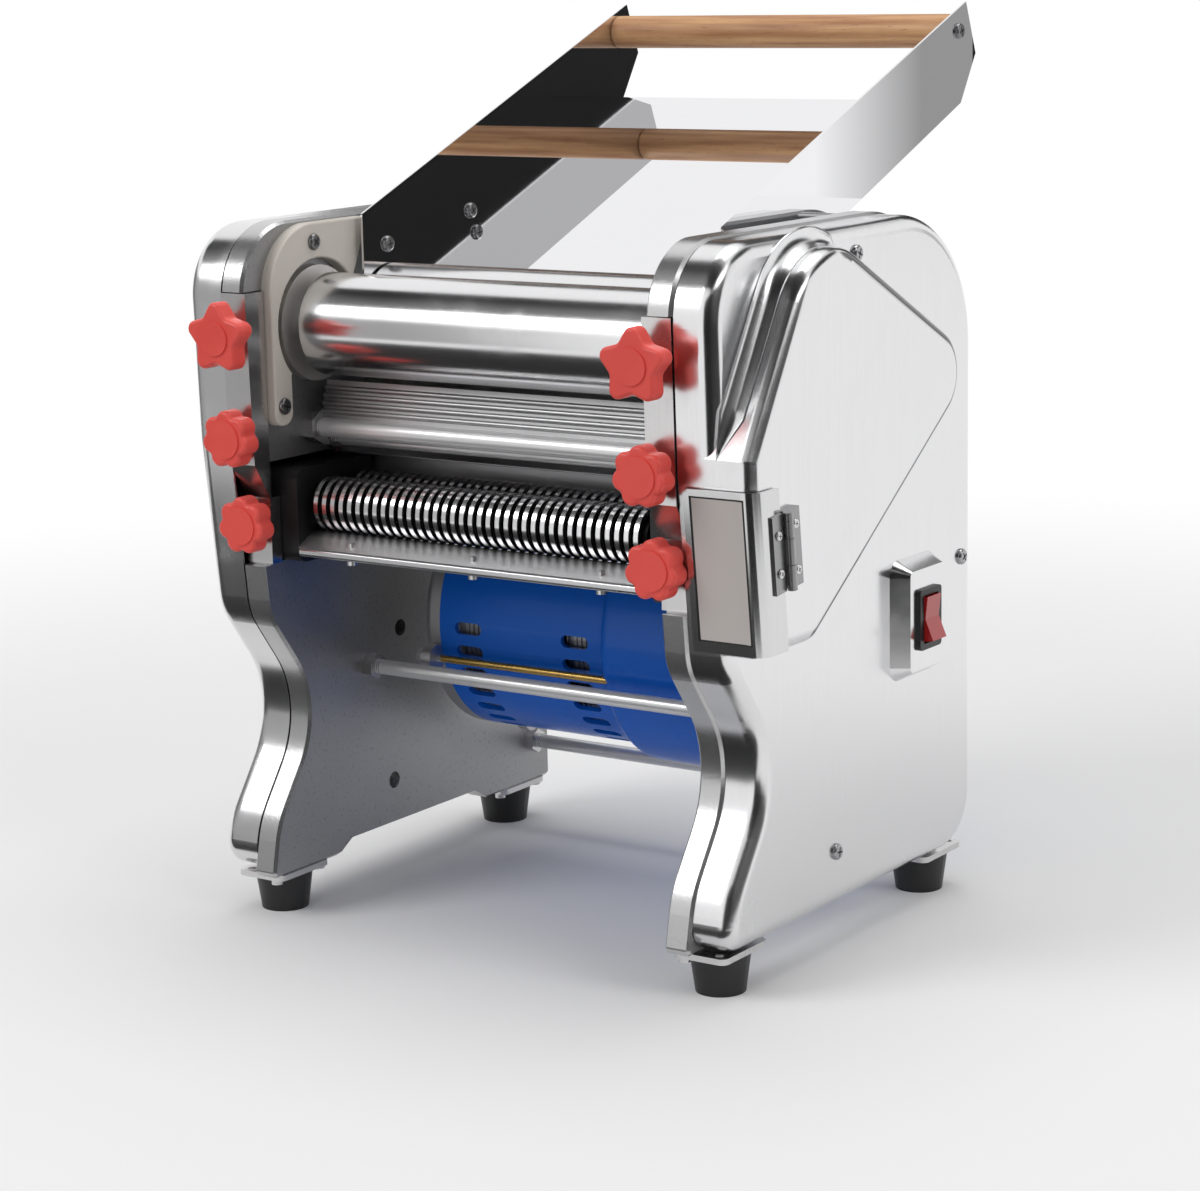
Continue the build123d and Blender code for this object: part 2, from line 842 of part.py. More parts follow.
with BuildPart() as right_cover:
    add(cover_shell(0, right_cover_depth, cover_edge_round))
    add(bulge_shell(0, bulge_depth, bulge_edge_round))
    with BuildSketch(side(right_face)):
        with Locations(switch_place):
            RectangleRounded(switch_box_width, switch_box_height, switch_box_corner)
    extrude(amount=switch_box_rise, taper=switch_box_taper)
    add(cover_shell(sheet, right_cover_depth - sheet, inner_round), mode=Mode.SUBTRACT)
    add(bulge_shell(sheet, bulge_depth - sheet, bulge_edge_round - sheet), mode=Mode.SUBTRACT)
    with BuildSketch(side(right_face - sheet)):
        with Locations(switch_place):
            RectangleRounded(
                switch_box_width - 2 * sheet,
                switch_box_height - 2 * sheet,
                switch_box_corner - sheet,
            )
    extrude(amount=switch_box_rise, taper=switch_box_taper, mode=Mode.SUBTRACT)
    with BuildSketch(side(right_face)):
        with Locations(switch_place):
            Rectangle(switch_body_width, switch_body_height)
    extrude(amount=switch_box_rise + overrun, mode=Mode.SUBTRACT)
    # Opening behind the door, in the front wall only
    opening_width = bulge_depth - 2 * door_opening_margin
    opening_height = door_top - door_bottom - 2 * door_opening_margin
    with BuildSketch(front(-cassette_front)):
        with Locations((cover_x + bulge_depth / 2, (door_top + door_bottom) / 2)):
            Rectangle(opening_width, opening_height)
    extrude(amount=frame_front - cassette_front + overrun, mode=Mode.SUBTRACT)
    for place in cover_screw_places:
        add(rod(right_face - overrun, right_face + overrun, place, screw_radius), mode=Mode.SUBTRACT)
right_cover.part.label = "right_cover"
export_step(right_cover.part, "parts/right_cover.step")

with BuildPart() as left_cover_body:
    add(cover_shell(0, left_cover_depth, cover_edge_round))
    add(cover_shell(sheet, left_cover_depth - sheet, inner_round), mode=Mode.SUBTRACT)
    for place in cover_screw_places:
        add(rod(left_face - overrun, left_face + overrun, place, screw_radius), mode=Mode.SUBTRACT)
with BuildPart() as left_cover:
    add(mirrored(left_cover_body.part))
left_cover.part.label = "left_cover"
export_step(left_cover.part, "parts/left_cover.step")

with BuildPart() as cover_screws:
    for place in cover_screw_places:
        for face, sign in ((right_face, 1), (left_face, -1)):
            depth = face - frame_outer + cover_screw_seat - press_gap
            add(domed_screw(sign * face, place, sign, depth))
cover_screws.part.label = "cover_screws"
export_step(cover_screws.part, "parts/cover_screws.step")


# Guards
def guard():
    points = [
        (-guard_front, guard_bottom),
        (-guard_front, guard_top),
        (-guard_rear, guard_top),
        (-guard_rear - guard_slant, guard_top - guard_slant_height),
        roller_place,
        (-guard_front + guard_lobe_width, guard_lobe_top),
        (-guard_front + guard_lobe_width, guard_bottom),
    ]
    radii = [guard_lobe_radius, guard_top_radius, guard_corner_radius, guard_corner_radius]
    radii += [guard_corner_radius, guard_corner_radius, guard_lobe_radius]
    with BuildPart() as body:
        with BuildSketch(side(guard_face)):
            add(outline(points, radii))
            with Locations(roller_place):
                Circle(guard_bore_radius, mode=Mode.SUBTRACT)
        extrude(amount=guard_thickness)
        fillet(edge_faces(body, -1).edges(), radius=guard_edge_round)
        for place in guard_screw_places:
            add(rod(guard_face - overrun, frame_inner + overrun, place, screw_radius), mode=Mode.SUBTRACT)
    return body.part


with BuildPart() as right_guard:
    add(guard())
right_guard.part.label = "right_guard"
export_step(right_guard.part, "parts/right_guard.step")

with BuildPart() as left_guard:
    add(mirrored(guard()))
left_guard.part.label = "left_guard"
export_step(left_guard.part, "parts/left_guard.step")


# Front bars and clamp blocks
def front_bar():
    points = [
        (-recess_front, bar_bottom),
        (-clamp_front, bar_bottom),
        bar_front(bar_bevel_height),
        bar_front(recess_top - cover_seam),
        (-recess_front, recess_top - cover_seam),
    ]
    with BuildPart() as body:
        with BuildSketch(side(bar_inner)):
            Polygon(*points)
        extrude(amount=bar_width)
        for height in (star_height, mid_height):
            place = (knob_x, height)
            stud_bore = plug(-frame_front - overrun, overrun - recess_front, place, stud_bore_radius)
            add(stud_bore, mode=Mode.SUBTRACT)
    return body.part


with BuildPart() as right_front_bar:
    add(front_bar())
right_front_bar.part.label = "right_front_bar"
export_step(right_front_bar.part, "parts/right_front_bar.step")

with BuildPart() as left_front_bar:
    add(mirrored(front_bar()))
left_front_bar.part.label = "left_front_bar"
export_step(left_front_bar.part, "parts/left_front_bar.step")

with BuildPart() as clamp_body:
    with BuildSketch(side(bar_inner)):
        with Locations((-clamp_front + clamp_depth / 2, (cassette_slot_bottom + bar_bottom) / 2)):
            Rectangle(clamp_depth, bar_bottom - cassette_slot_bottom)
    extrude(amount=bar_width)
    clamp_back = -clamp_front + clamp_depth
    stud_bore = plug(-clamp_front - overrun, clamp_back + overrun, (knob_x, low_height), stud_bore_radius)
    add(stud_bore, mode=Mode.SUBTRACT)
with BuildPart() as clamp_blocks:
    add(clamp_body.part)
    add(mirrored(clamp_body.part))
clamp_blocks.part.label = "clamp_blocks"
export_step(clamp_blocks.part, "parts/clamp_blocks.step")

# Rods between the frames, their nuts
rod_reach = frame_inner + rod_seat_depth
with BuildPart() as tie_rods:
    for place, radius in rods:
        add(rod(-rod_reach, rod_reach, place, radius))
tie_rods.part.label = "tie_rods"
export_step(tie_rods.part, "parts/tie_rods.step")

with BuildPart() as rod_nuts:
    for place, radius in rods:
        for x_from in (frame_inner - nut_height_share * radius, -frame_inner):
            add(nut(x_from, x_from + nut_height_share * radius, place, radius * nut_share))
            add(rod(-rod_reach, rod_reach, place, radius + press_gap), mode=Mode.SUBTRACT)
rod_nuts.part.label = "rod_nuts"
export_step(rod_nuts.part, "parts/rod_nuts.step")

# Feet: steel plates under the frames, tapered rubber feet, screws
feet_places = [(x, y) for x in (-foot_x, foot_x) for y in (-foot_y, foot_y)]
plate_screw_places = []
for x, y in feet_places:
    screw_x = x - math.copysign(plate_screw_shift[0], x)
    for way in (-1, 1):
        plate_screw_places.append((screw_x, y + way * plate_screw_shift[1]))

with BuildPart() as foot_brackets:
    with BuildSketch(level(plate_bottom)):
        with Locations(*feet_places):
            RectangleRounded(foot_plate_width, foot_plate_length, foot_plate_corner)
        with Locations(*feet_places):
            Circle(foot_screw_radius, mode=Mode.SUBTRACT)
        with Locations(*plate_screw_places):
            Circle(screw_radius, mode=Mode.SUBTRACT)
        for x, y in feet_places:
            hole_x = x + math.copysign(foot_plate_hole_shift[0], x)
            hole_y = y + math.copysign(foot_plate_hole_shift[1], y)
            with Locations((hole_x, hole_y)):
                Circle(foot_plate_hole_radius, mode=Mode.SUBTRACT)
    extrude(amount=frame_bottom - plate_bottom)
foot_brackets.part.label = "foot_brackets"
export_step(foot_brackets.part, "parts/foot_brackets.step")

with BuildPart() as feet:
    with Locations(level(0)):
        with Locations(*feet_places):
            Cone(
                foot_bottom_radius,
                foot_top_radius,
                foot_height,
                align=(Align.CENTER, Align.CENTER, Align.MIN),
            )
    with BuildSketch(level(0)):
        with Locations(*feet_places):
            Circle(foot_bore_radius)
    extrude(amount=foot_bore_depth, mode=Mode.SUBTRACT)
    with BuildSketch(level(0)):
        with Locations(*feet_places):
            Circle(foot_screw_radius)
    extrude(amount=foot_height, mode=Mode.SUBTRACT)
feet.part.label = "feet"
export_step(feet.part, "parts/feet.step")

with BuildPart() as foot_screws:
    with BuildSketch(level(foot_bore_depth - foot_screw_head)):
        with Locations(*feet_places):
            Circle(foot_screw_head_radius)
    extrude(amount=foot_screw_head)
    with BuildSketch(level(foot_bore_depth)):
        with Locations(*feet_places):
            Circle(foot_screw_radius - press_gap)
    extrude(amount=frame_bottom - foot_bore_depth)
    with BuildSketch(level(plate_bottom - screw_head)):
        with Locations(*plate_screw_places):
            Circle(foot_screw_radius)
    extrude(amount=screw_head)
    with BuildSketch(level(plate_bottom)):
        with Locations(*plate_screw_places):
            Circle(screw_radius - press_gap)
    extrude(amount=frame_bottom - plate_bottom)
foot_screws.part.label = "foot_screws"
export_step(foot_screws.part, "parts/foot_screws.step")


# Chute
pan_slope = heading_of(pan_front, pan_rear)


def below_pan(place):
    # The point one sheet thickness under a point of the pan's top
    return step_to(place, pan_slope - 90, sheet)


with BuildPart() as chute_pan:
    with BuildSketch(side(-chute_inner)):
        Polygon(pan_front, pan_rear, below_pan(pan_rear), below_pan(pan_front))
    extrude(amount=2 * chute_inner)
chute_pan.part.label = "chute_pan"
export_step(chute_pan.part, "parts/chute_pan.step")


def chute_side():
    points = [
        (rear_roller_place[0] - side_front_lead, frame_top - side_front_drop),
        (rear_roller_place[0] - side_front_lead, frame_top),
        side_tip_top,
        side_tip_rear,
        below_pan(pan_rear),
        side_heel,
    ]
    with BuildPart() as body:
        with BuildSketch(side(chute_inner)):
            Polygon(*points)
            with Locations(*chute_screw_places, carry_bar_place):
                Circle(screw_radius, mode=Mode.SUBTRACT)
        extrude(amount=sheet)
    return body.part


with BuildPart() as right_chute_side:
    add(chute_side())
right_chute_side.part.label = "right_chute_side"
export_step(right_chute_side.part, "parts/right_chute_side.step")

with BuildPart() as left_chute_side:
    add(mirrored(chute_side()))
left_chute_side.part.label = "left_chute_side"
export_step(left_chute_side.part, "parts/left_chute_side.step")

with BuildPart() as carry_bar:
    add(rod(-chute_inner, chute_inner, carry_bar_place, carry_bar_radius))
    fillet(carry_bar.edges().filter_by(GeomType.CIRCLE), radius=carry_bar_round)
    for way in (-1, 1):
        bore_ends = sorted((way * (chute_inner - screw_depth), way * chute_outer))
        add(rod(*bore_ends, carry_bar_place, screw_radius), mode=Mode.SUBTRACT)
carry_bar.part.label = "carry_bar"
export_step(carry_bar.part, "parts/carry_bar.step")

# Small screws: guards and chute from the inside, carrying bar from the outside
with BuildPart() as plate_screws:
    for sign in (-1, 1):
        for place in guard_screw_places:
            add(domed_screw(sign * guard_face, place, -sign, screw_depth))
        for place in chute_screw_places:
            add(domed_screw(sign * chute_inner, place, -sign, screw_depth))
        add(domed_screw(sign * chute_outer, carry_bar_place, sign, screw_depth))
plate_screws.part.label = "plate_screws"
export_step(plate_screws.part, "parts/plate_screws.step")

# Rollers
with BuildPart() as front_roller:
    add(rod(-roller_half_length, roller_half_length, roller_place, roller_radius))
    add(rod(sync_left, frame_outer - overrun, roller_place, journal_radius))
front_roller.part.label = "front_roller"
export_step(front_roller.part, "parts/front_roller.step")

with BuildPart() as rear_roller:
    add(rod(-roller_half_length, roller_half_length, rear_roller_place, roller_radius))
    add(rod(sync_left, gear_right, rear_roller_place, journal_radius))
rear_roller.part.label = "rear_roller"
export_step(rear_roller.part, "parts/rear_roller.step")


# Bearing blocks slide in the frames' slots, a round flange shows inside the guard
def bearing_block():
    with BuildPart() as body:
        with BuildSketch(side(frame_inner + slide_gap)):
            with Locations((-(block_front + block_rear) / 2, roller_place[1])):
                Rectangle(block_front - block_rear, 2 * block_half_height)
        extrude(amount=frame_thickness - slide_gap)
        flange_right = frame_inner - slide_gap
        add(rod(flange_right - block_flange_thickness, flange_right, roller_place, block_flange_radius))
        add(rod(flange_right - overrun, frame_inner + overrun, roller_place, block_half_height))
        add(
            rod(guard_face - overrun, frame_outer + overrun, roller_place, journal_radius + running_gap),
            mode=Mode.SUBTRACT,
        )
        thread_end = -block_front + block_thread_depth
        add(
            plug(-block_front - overrun, thread_end, (knob_x, star_height), stud_bore_radius),
            mode=Mode.SUBTRACT,
        )
    return body.part


with BuildPart() as bearing_blocks:
    add(bearing_block())
    add(mirrored(bearing_block()))
bearing_blocks.part.label = "bearing_blocks"
export_step(bearing_blocks.part, "parts/bearing_blocks.step")

with BuildPart() as rear_bushes:
    for x_from in (-frame_outer, frame_inner):
        add(rod(x_from, x_from + frame_thickness, rear_roller_place, bush_radius))
        bore_right = x_from + frame_thickness + overrun
        bush_bore = rod(x_from - overrun, bore_right, rear_roller_place, journal_seat_radius)
        add(bush_bore, mode=Mode.SUBTRACT)
rear_bushes.part.label = "rear_bushes"
export_step(rear_bushes.part, "parts/rear_bushes.step")

# Synchronising gears in the left cover
journal_bore = journal_radius + press_gap
with BuildPart() as front_sync_gear:
    add(gear(sync_teeth, sync_module, front_sync_phase, roller_place, sync_left, sync_right, journal_bore))
front_sync_gear.part.label = "front_sync_gear"
export_step(front_sync_gear.part, "parts/front_sync_gear.step")

with BuildPart() as rear_sync_gear:
    add(gear(sync_teeth, sync_module, 0, rear_roller_place, sync_left, sync_right, journal_bore))
rear_sync_gear.part.label = "rear_sync_gear"
export_step(rear_sync_gear.part, "parts/rear_sync_gear.step")

# Gear train in the right cover
with BuildPart() as roller_gear:
    add(gear(roller_gear_teeth, gear_module, 0, rear_roller_place, gear_left, gear_right, journal_bore))
roller_gear.part.label = "roller_gear"
export_step(roller_gear.part, "parts/roller_gear.step")

hub_left = frame_outer + hub_clearance
axle_bore = axle_radius + running_gap
with BuildPart() as idler_gear:
    add(gear(idler_teeth, gear_module, idler_phase, idler_place, gear_left, gear_right, axle_bore))
    add(rod(hub_left, gear_left, idler_place, gear_hub_radius))
    add(rod(hub_left - overrun, gear_right + overrun, idler_place, axle_bore), mode=Mode.SUBTRACT)
idler_gear.part.label = "idler_gear"
export_step(idler_gear.part, "parts/idler_gear.step")

belt_right = belt_left + belt_width
pulley_left = belt_left - belt_gap - pulley_flange
pulley_right = belt_right + belt_gap + pulley_flange


def pulley(place, belt_inner, bore):
    # Flanged pulley, the belt sits in its groove
    groove = belt_inner - belt_gap
    rim = belt_inner + belt_thickness + pulley_rim
    with BuildPart() as body:
        add(rod(pulley_left, pulley_right, place, groove))
        add(rod(pulley_left, pulley_left + pulley_flange, place, rim))
        add(rod(pulley_right - pulley_flange, pulley_right, place, rim))
        add(rod(pulley_left - overrun, pulley_right + overrun, place, bore), mode=Mode.SUBTRACT)
    return body.part


with BuildPart() as large_pulley:
    add(pulley(pinion_place, large_pulley_radius, axle_bore))
    add(rod(hub_left, pulley_left, pinion_place, gear_hub_radius))
    add(rod(hub_left - overrun, pulley_left + overrun, pinion_place, axle_bore), mode=Mode.SUBTRACT)
large_pulley.part.label = "large_pulley"
export_step(large_pulley.part, "parts/large_pulley.step")

with BuildPart() as pinion:
    add(gear(pinion_teeth, gear_module, pinion_phase, pinion_place, gear_left, gear_right, axle_bore))
    add(rod(pulley_right, gear_left, pinion_place, gear_hub_radius))
    add(rod(pulley_right - overrun, gear_right + overrun, pinion_place, axle_bore), mode=Mode.SUBTRACT)
pinion.part.label = "pinion"
export_step(pinion.part, "parts/pinion.step")

with BuildPart() as motor_pulley:
    add(pulley(motor_place, motor_pulley_radius, motor_shaft_radius + press_gap))
motor_pulley.part.label = "motor_pulley"
export_step(motor_pulley.part, "parts/motor_pulley.step")

with BuildPart() as motor_shaft:
    add(rod(frame_inner - motor_shaft_depth, pulley_right, motor_place, motor_shaft_radius))
motor_shaft.part.label = "motor_shaft"
export_step(motor_shaft.part, "parts/motor_shaft.step")

axle_right = gear_right + hub_clearance
with BuildPart() as stub_axles:
    for place in (pinion_place, idler_place):
        add(rod(frame_outer - axle_seat, axle_right, place, axle_radius))
        add(rod(axle_right, axle_right + axle_head, place, axle_head_radius))
stub_axles.part.label = "stub_axles"
export_step(stub_axles.part, "parts/stub_axles.step")


def belt_loop(thickness):
    # Area inside the belt, or out to its back
    with BuildSketch() as loop:
        with Locations(motor_place):
            Circle(motor_pulley_radius + thickness)
        with Locations(pinion_place):
            Circle(large_pulley_radius + thickness)
        make_hull()
    return loop.sketch


with BuildPart() as drive_belt:
    with BuildSketch(side(belt_left)):
        add(belt_loop(belt_thickness))
        add(belt_loop(0), mode=Mode.SUBTRACT)
    extrude(amount=belt_width)
drive_belt.part.label = "drive_belt"
export_step(drive_belt.part, "parts/drive_belt.step")

# Motor: can with vents, end bell, gearcase on the right frame, long bolts
bolt_ring = motor_radius + motor_bolt_radius + motor_bolt_gap
bolt_places = [step_to(motor_place, turn, bolt_ring) for turn in motor_bolt_angles]
bolt_left = -motor_left - end_bell_length

with BuildPart() as motor_can:
    add(rod(-motor_left, gearcase_left, motor_place, motor_radius))
    add(
        rod(-motor_left - overrun, gearcase_left + overrun, motor_place, motor_radius - motor_wall),
        mode=Mode.SUBTRACT,
    )
    for x in vent_columns:
        for k in range(vent_count):
            turn = vent_first_angle + k * vent_step_angle
            outward = (0, math.cos(math.radians(turn)), math.sin(math.radians(turn)))
            with BuildSketch(Plane(origin=at(x, motor_place), x_dir=(1, 0, 0), z_dir=outward)):
                SlotOverall(vent_length, vent_width)
            extrude(amount=motor_radius + overrun, mode=Mode.SUBTRACT)
motor_can.part.label = "motor_can"
export_step(motor_can.part, "parts/motor_can.step")

with BuildPart() as motor_end_bell:
    add(rod(-motor_left - end_bell_length, -motor_left, motor_place, motor_radius))
    fillet(motor_end_bell.edges().filter_by(GeomType.CIRCLE).sort_by(Axis.X)[0], radius=end_bell_round)
    add(rod(-motor_left, -motor_left + end_bell_length, motor_place, motor_radius - motor_wall))
    for place in bolt_places:
        add(rod(-motor_left - motor_lug_thickness, -motor_left, place, motor_lug_radius))
        add(rod(-motor_left - end_bell_length, -motor_left, place, motor_bolt_radius), mode=Mode.SUBTRACT)
motor_end_bell.part.label = "motor_end_bell"
export_step(motor_end_bell.part, "parts/motor_end_bell.step")

with BuildPart() as motor_gearcase:
    add(rod(gearcase_left, frame_inner, motor_place, gearcase_radius))
    fillet(motor_gearcase.edges().filter_by(GeomType.CIRCLE).sort_by(Axis.X)[0], radius=gearcase_edge_round)
    shaft_end = frame_inner - motor_shaft_depth
    shaft_bore_radius = motor_shaft_radius + running_gap
    add(
        rod(shaft_end - hub_clearance, frame_inner + overrun, motor_place, shaft_bore_radius),
        mode=Mode.SUBTRACT,
    )
    for place in bolt_places:
        add(
            rod(gearcase_left - overrun, gearcase_left + motor_bolt_seat, place, motor_bolt_radius),
            mode=Mode.SUBTRACT,
        )
motor_gearcase.part.label = "motor_gearcase"
export_step(motor_gearcase.part, "parts/motor_gearcase.step")

with BuildPart() as motor_bolts:
    for place in bolt_places:
        add(rod(bolt_left, gearcase_left + motor_bolt_seat, place, motor_bolt_radius - press_gap))
        add(nut(bolt_left, -motor_left - motor_lug_thickness, place, motor_nut_across / 2))
motor_bolts.part.label = "motor_bolts"
export_step(motor_bolts.part, "parts/motor_bolts.step")


# Cutters: a ringed roller pair, rings of one run in the grooves of the other
def cutter(place, ring_start):
    ring_width = ring_pitch / 2 - ring_side_gap
    half_length = ring_count * ring_pitch / 2
    with BuildPart() as body:
        add(rod(-half_length, half_length, place, cutter_groove_radius))
        add(rod(-frame_outer, gear_right, place, cutter_shaft_radius))
        for k in range(ring_count):
            ring_left = -half_length + k * ring_pitch + ring_start
            add(rod(ring_left, ring_left + ring_width, place, cutter_radius))
    return body.part


with BuildPart() as front_cutter:
    add(cutter(cutter_place, ring_side_gap / 2))
front_cutter.part.label = "front_cutter"
export_step(front_cutter.part, "parts/front_cutter.step")

with BuildPart() as rear_cutter:
    add(cutter(rear_cutter_place, ring_pitch / 2 + ring_side_gap / 2))
rear_cutter.part.label = "rear_cutter"
export_step(rear_cutter.part, "parts/rear_cutter.step")

cutter_bore = cutter_shaft_radius + press_gap


def cutter_gear(phase, place):
    return gear(cutter_gear_teeth, gear_module, phase, place, gear_left, gear_right, cutter_bore)


with BuildPart() as front_cutter_gear:
    add(cutter_gear(front_cutter_phase, cutter_place))
front_cutter_gear.part.label = "front_cutter_gear"
export_step(front_cutter_gear.part, "parts/front_cutter_gear.step")

with BuildPart() as rear_cutter_gear:
    add(cutter_gear(rear_cutter_phase, rear_cutter_place))
rear_cutter_gear.part.label = "rear_cutter_gear"
export_step(rear_cutter_gear.part, "parts/rear_cutter_gear.step")


# Cassette ends carry the cutters
def cassette_end():
    with BuildPart() as body:
        with BuildSketch(side(cassette_inner)):
            cassette_height = cassette_top - cassette_slot_bottom
            cassette_mid = cassette_slot_bottom + cassette_height / 2
            with Locations((-(cassette_front + cassette_rear) / 2, cassette_mid)):
                RectangleRounded(cassette_front - cassette_rear, cassette_height, cassette_corner)
            with Locations(cutter_place, rear_cutter_place):
                Circle(cutter_shaft_radius + running_gap, mode=Mode.SUBTRACT)
        extrude(amount=frame_outer - cassette_inner)
    return body.part


with BuildPart() as right_cassette_end:
    add(cassette_end())
right_cassette_end.part.label = "right_cassette_end"
export_step(right_cassette_end.part, "parts/right_cassette_end.step")

with BuildPart() as left_cassette_end:
    add(mirrored(cassette_end()))
left_cassette_end.part.label = "left_cassette_end"
export_step(left_cassette_end.part, "parts/left_cassette_end.step")

# Combs strip the dough from the grooves: a sheet with a finger in every groove
comb_foot = (cutter_place[0] - comb_foot_reach, cutter_place[1] - comb_foot_drop)
comb_tip_drop = cutter_groove_radius + comb_groove_gap + comb_thickness
comb_tip = (cutter_place[0] - comb_tip_reach, cutter_place[1] - comb_tip_drop)
comb_slope = heading_of(comb_foot, comb_tip)


def over_comb(place):
    return step_to(place, comb_slope + 90, comb_thickness)


# Heights of the bar under the comb's foot and of the screws that stand through the sheet
comb_tilt = math.radians(comb_slope)
comb_bar_bottom = comb_foot[1] - comb_bar_drop
comb_screw_y = comb_foot[0] + comb_bar_width / 2
comb_sheet_rise = comb_bar_width / 2 * math.tan(comb_tilt) + comb_thickness / math.cos(comb_tilt)
comb_screw_top = comb_foot[1] + comb_sheet_rise + comb_screw_stub


def screw_row(z_from, z_to, radius):
    # Three upright round bars along the comb
    with BuildPart() as row:
        with BuildSketch(level(z_from)):
            with Locations((0, comb_screw_y)):
                with GridLocations(comb_screw_spacing, 0, 3, 1):
                    Circle(radius)
        extrude(amount=z_to - z_from)
    return row.part


def comb(ring_start):
    # Front comb, with slits where the rings of its cutter run
    ring_width = ring_pitch / 2 - ring_side_gap
    half_length = ring_count * ring_pitch / 2
    with BuildPart() as body:
        with BuildSketch(side(-cassette_inner)):
            Polygon(comb_foot, comb_tip, over_comb(comb_tip), over_comb(comb_foot))
        extrude(amount=2 * cassette_inner)
        for k in range(ring_count):
            ring_left = -half_length + k * ring_pitch + ring_start
            slit_right = ring_left + ring_width + comb_side_gap
            slit_radius = cutter_radius + comb_ring_gap
            add(rod(ring_left - comb_side_gap, slit_right, cutter_place, slit_radius), mode=Mode.SUBTRACT)
        add(screw_row(comb_bar_bottom, comb_screw_top, comb_screw_radius), mode=Mode.SUBTRACT)
    return body.part


def behind_nip(body):
    # The same piece on the rear side of the cutters' nip
    return mirror(body, about=Plane.XZ.offset(-(mid_y + nip_y)))


with BuildPart() as combs:
    add(comb(ring_side_gap / 2))
    add(behind_nip(comb(ring_pitch / 2 + ring_side_gap / 2)))
combs.part.label = "combs"
export_step(combs.part, "parts/combs.step")

# Bars under the combs' feet
with BuildPart() as comb_bar:
    with BuildSketch(side(-cassette_inner)):
        bar_rear = step_to(comb_foot, comb_slope, comb_bar_width)
        Polygon(
            comb_foot,
            bar_rear,
            (bar_rear[0], comb_bar_bottom),
            (comb_foot[0], comb_bar_bottom),
        )
    extrude(amount=2 * cassette_inner)
    fillet(comb_bar.edges().filter_by(Axis.X).group_by(Axis.Y)[0], radius=comb_bar_round)
    add(screw_row(comb_bar_bottom, comb_screw_top, comb_screw_radius), mode=Mode.SUBTRACT)
with BuildPart() as comb_bars:
    add(comb_bar.part)
    add(behind_nip(comb_bar.part))
comb_bars.part.label = "comb_bars"
export_step(comb_bars.part, "parts/comb_bars.step")

with BuildPart() as comb_screw_set:
    add(screw_row(comb_bar_bottom - comb_screw_head, comb_bar_bottom, comb_screw_head_radius))
    add(screw_row(comb_bar_bottom, comb_screw_top, comb_screw_radius - press_gap))
with BuildPart() as comb_screws:
    add(comb_screw_set.part)
    add(behind_nip(comb_screw_set.part))
comb_screws.part.label = "comb_screws"
export_step(comb_screws.part, "parts/comb_screws.step")

# Guide sheets: the front one has pressed beads along it
front_guide_slope = heading_of(front_guide_bottom, front_guide_top)
front_guide_height = math.dist(front_guide_bottom, front_guide_top)


def ahead_of_guide(place):
    return step_to(place, front_guide_slope + 90, guide_thickness)


with BuildPart() as front_guide:
    with BuildSketch(side(-front_guide_half_length)):
        Polygon(
            front_guide_bottom,
            front_guide_top,
            ahead_of_guide(front_guide_top),
            ahead_of_guide(front_guide_bottom),
        )
        for k in range(guide_bead_count):
            reach = front_guide_height * (k + 1) / (guide_bead_count + 1)
            with Locations(ahead_of_guide(step_to(front_guide_bottom, front_guide_slope, reach))):
                Circle(guide_bead_radius)
    extrude(amount=2 * front_guide_half_length)
    add(rod(-frame_inner, frame_inner, upper_rod_place, upper_rod_radius), mode=Mode.SUBTRACT)
front_guide.part.label = "front_guide"
export_step(front_guide.part, "parts/front_guide.step")

with BuildPart() as rear_guide:
    with BuildSketch(side(-frame_inner)):
        with BuildLine():
            Polyline(rear_guide_top, rear_guide_knee, rear_guide_bottom)
            offset(amount=guide_thickness / 2, side=Side.BOTH)
        make_face()
        # Apron that hangs from the knee, behind the cutters
        with Locations(beside(rear_guide_knee, (0, -rear_guide_apron / 2))):
            Rectangle(guide_thickness, rear_guide_apron)
    extrude(amount=frame_gap)
rear_guide.part.label = "rear_guide"
export_step(rear_guide.part, "parts/rear_guide.step")


# Knobs with studs
def knob_outline(tip, valley, lobes, rounding):
    points = []
    for k in range(2 * lobes):
        turn = math.radians(90 + k * 180 / lobes)
        reach = tip if k % 2 == 0 else valley
        points.append((reach * math.cos(turn), reach * math.sin(turn)))
    with BuildSketch() as shape:
        Polygon(*points)
        fillet(shape.vertices(), radius=rounding)
    return shape.sketch


def grip_outline():
    # Round lobes side by side, with softened valleys
    with BuildSketch() as shape:
        Circle(grip_ring_radius)
        with PolarLocations(grip_ring_radius, grip_lobes, start_angle=90):
            Circle(grip_lobe_radius)
        fillet(shape.vertices(), radius=grip_round)
    return shape.sketch


def knob(shape, disc_radius, height, face, thickness, stud_end):
    body_front = -face + knob_disc_rise
    back = body_front + thickness
    with BuildPart() as body:
        with BuildSketch(front(back)):
            with Locations((knob_x, height)):
                add(shape)
        extrude(amount=thickness)
        fillet(body.faces().filter_by(Axis.Y).edges(), radius=knob_edge_round)
        # Plain raised disc in the middle of the face
        add(plug(-face, body_front, (knob_x, height), disc_radius))
        add(plug(back, back + knob_neck, (knob_x, height), knob_neck_radius))
        bore_end = back - knob_bore_depth
        stud_seat = plug(bore_end, back + knob_neck + overrun, (knob_x, height), stud_radius + press_gap)
        add(stud_seat, mode=Mode.SUBTRACT)
        add(plug(bore_end + press_gap, stud_end, (knob_x, height), stud_radius))
    return body.part


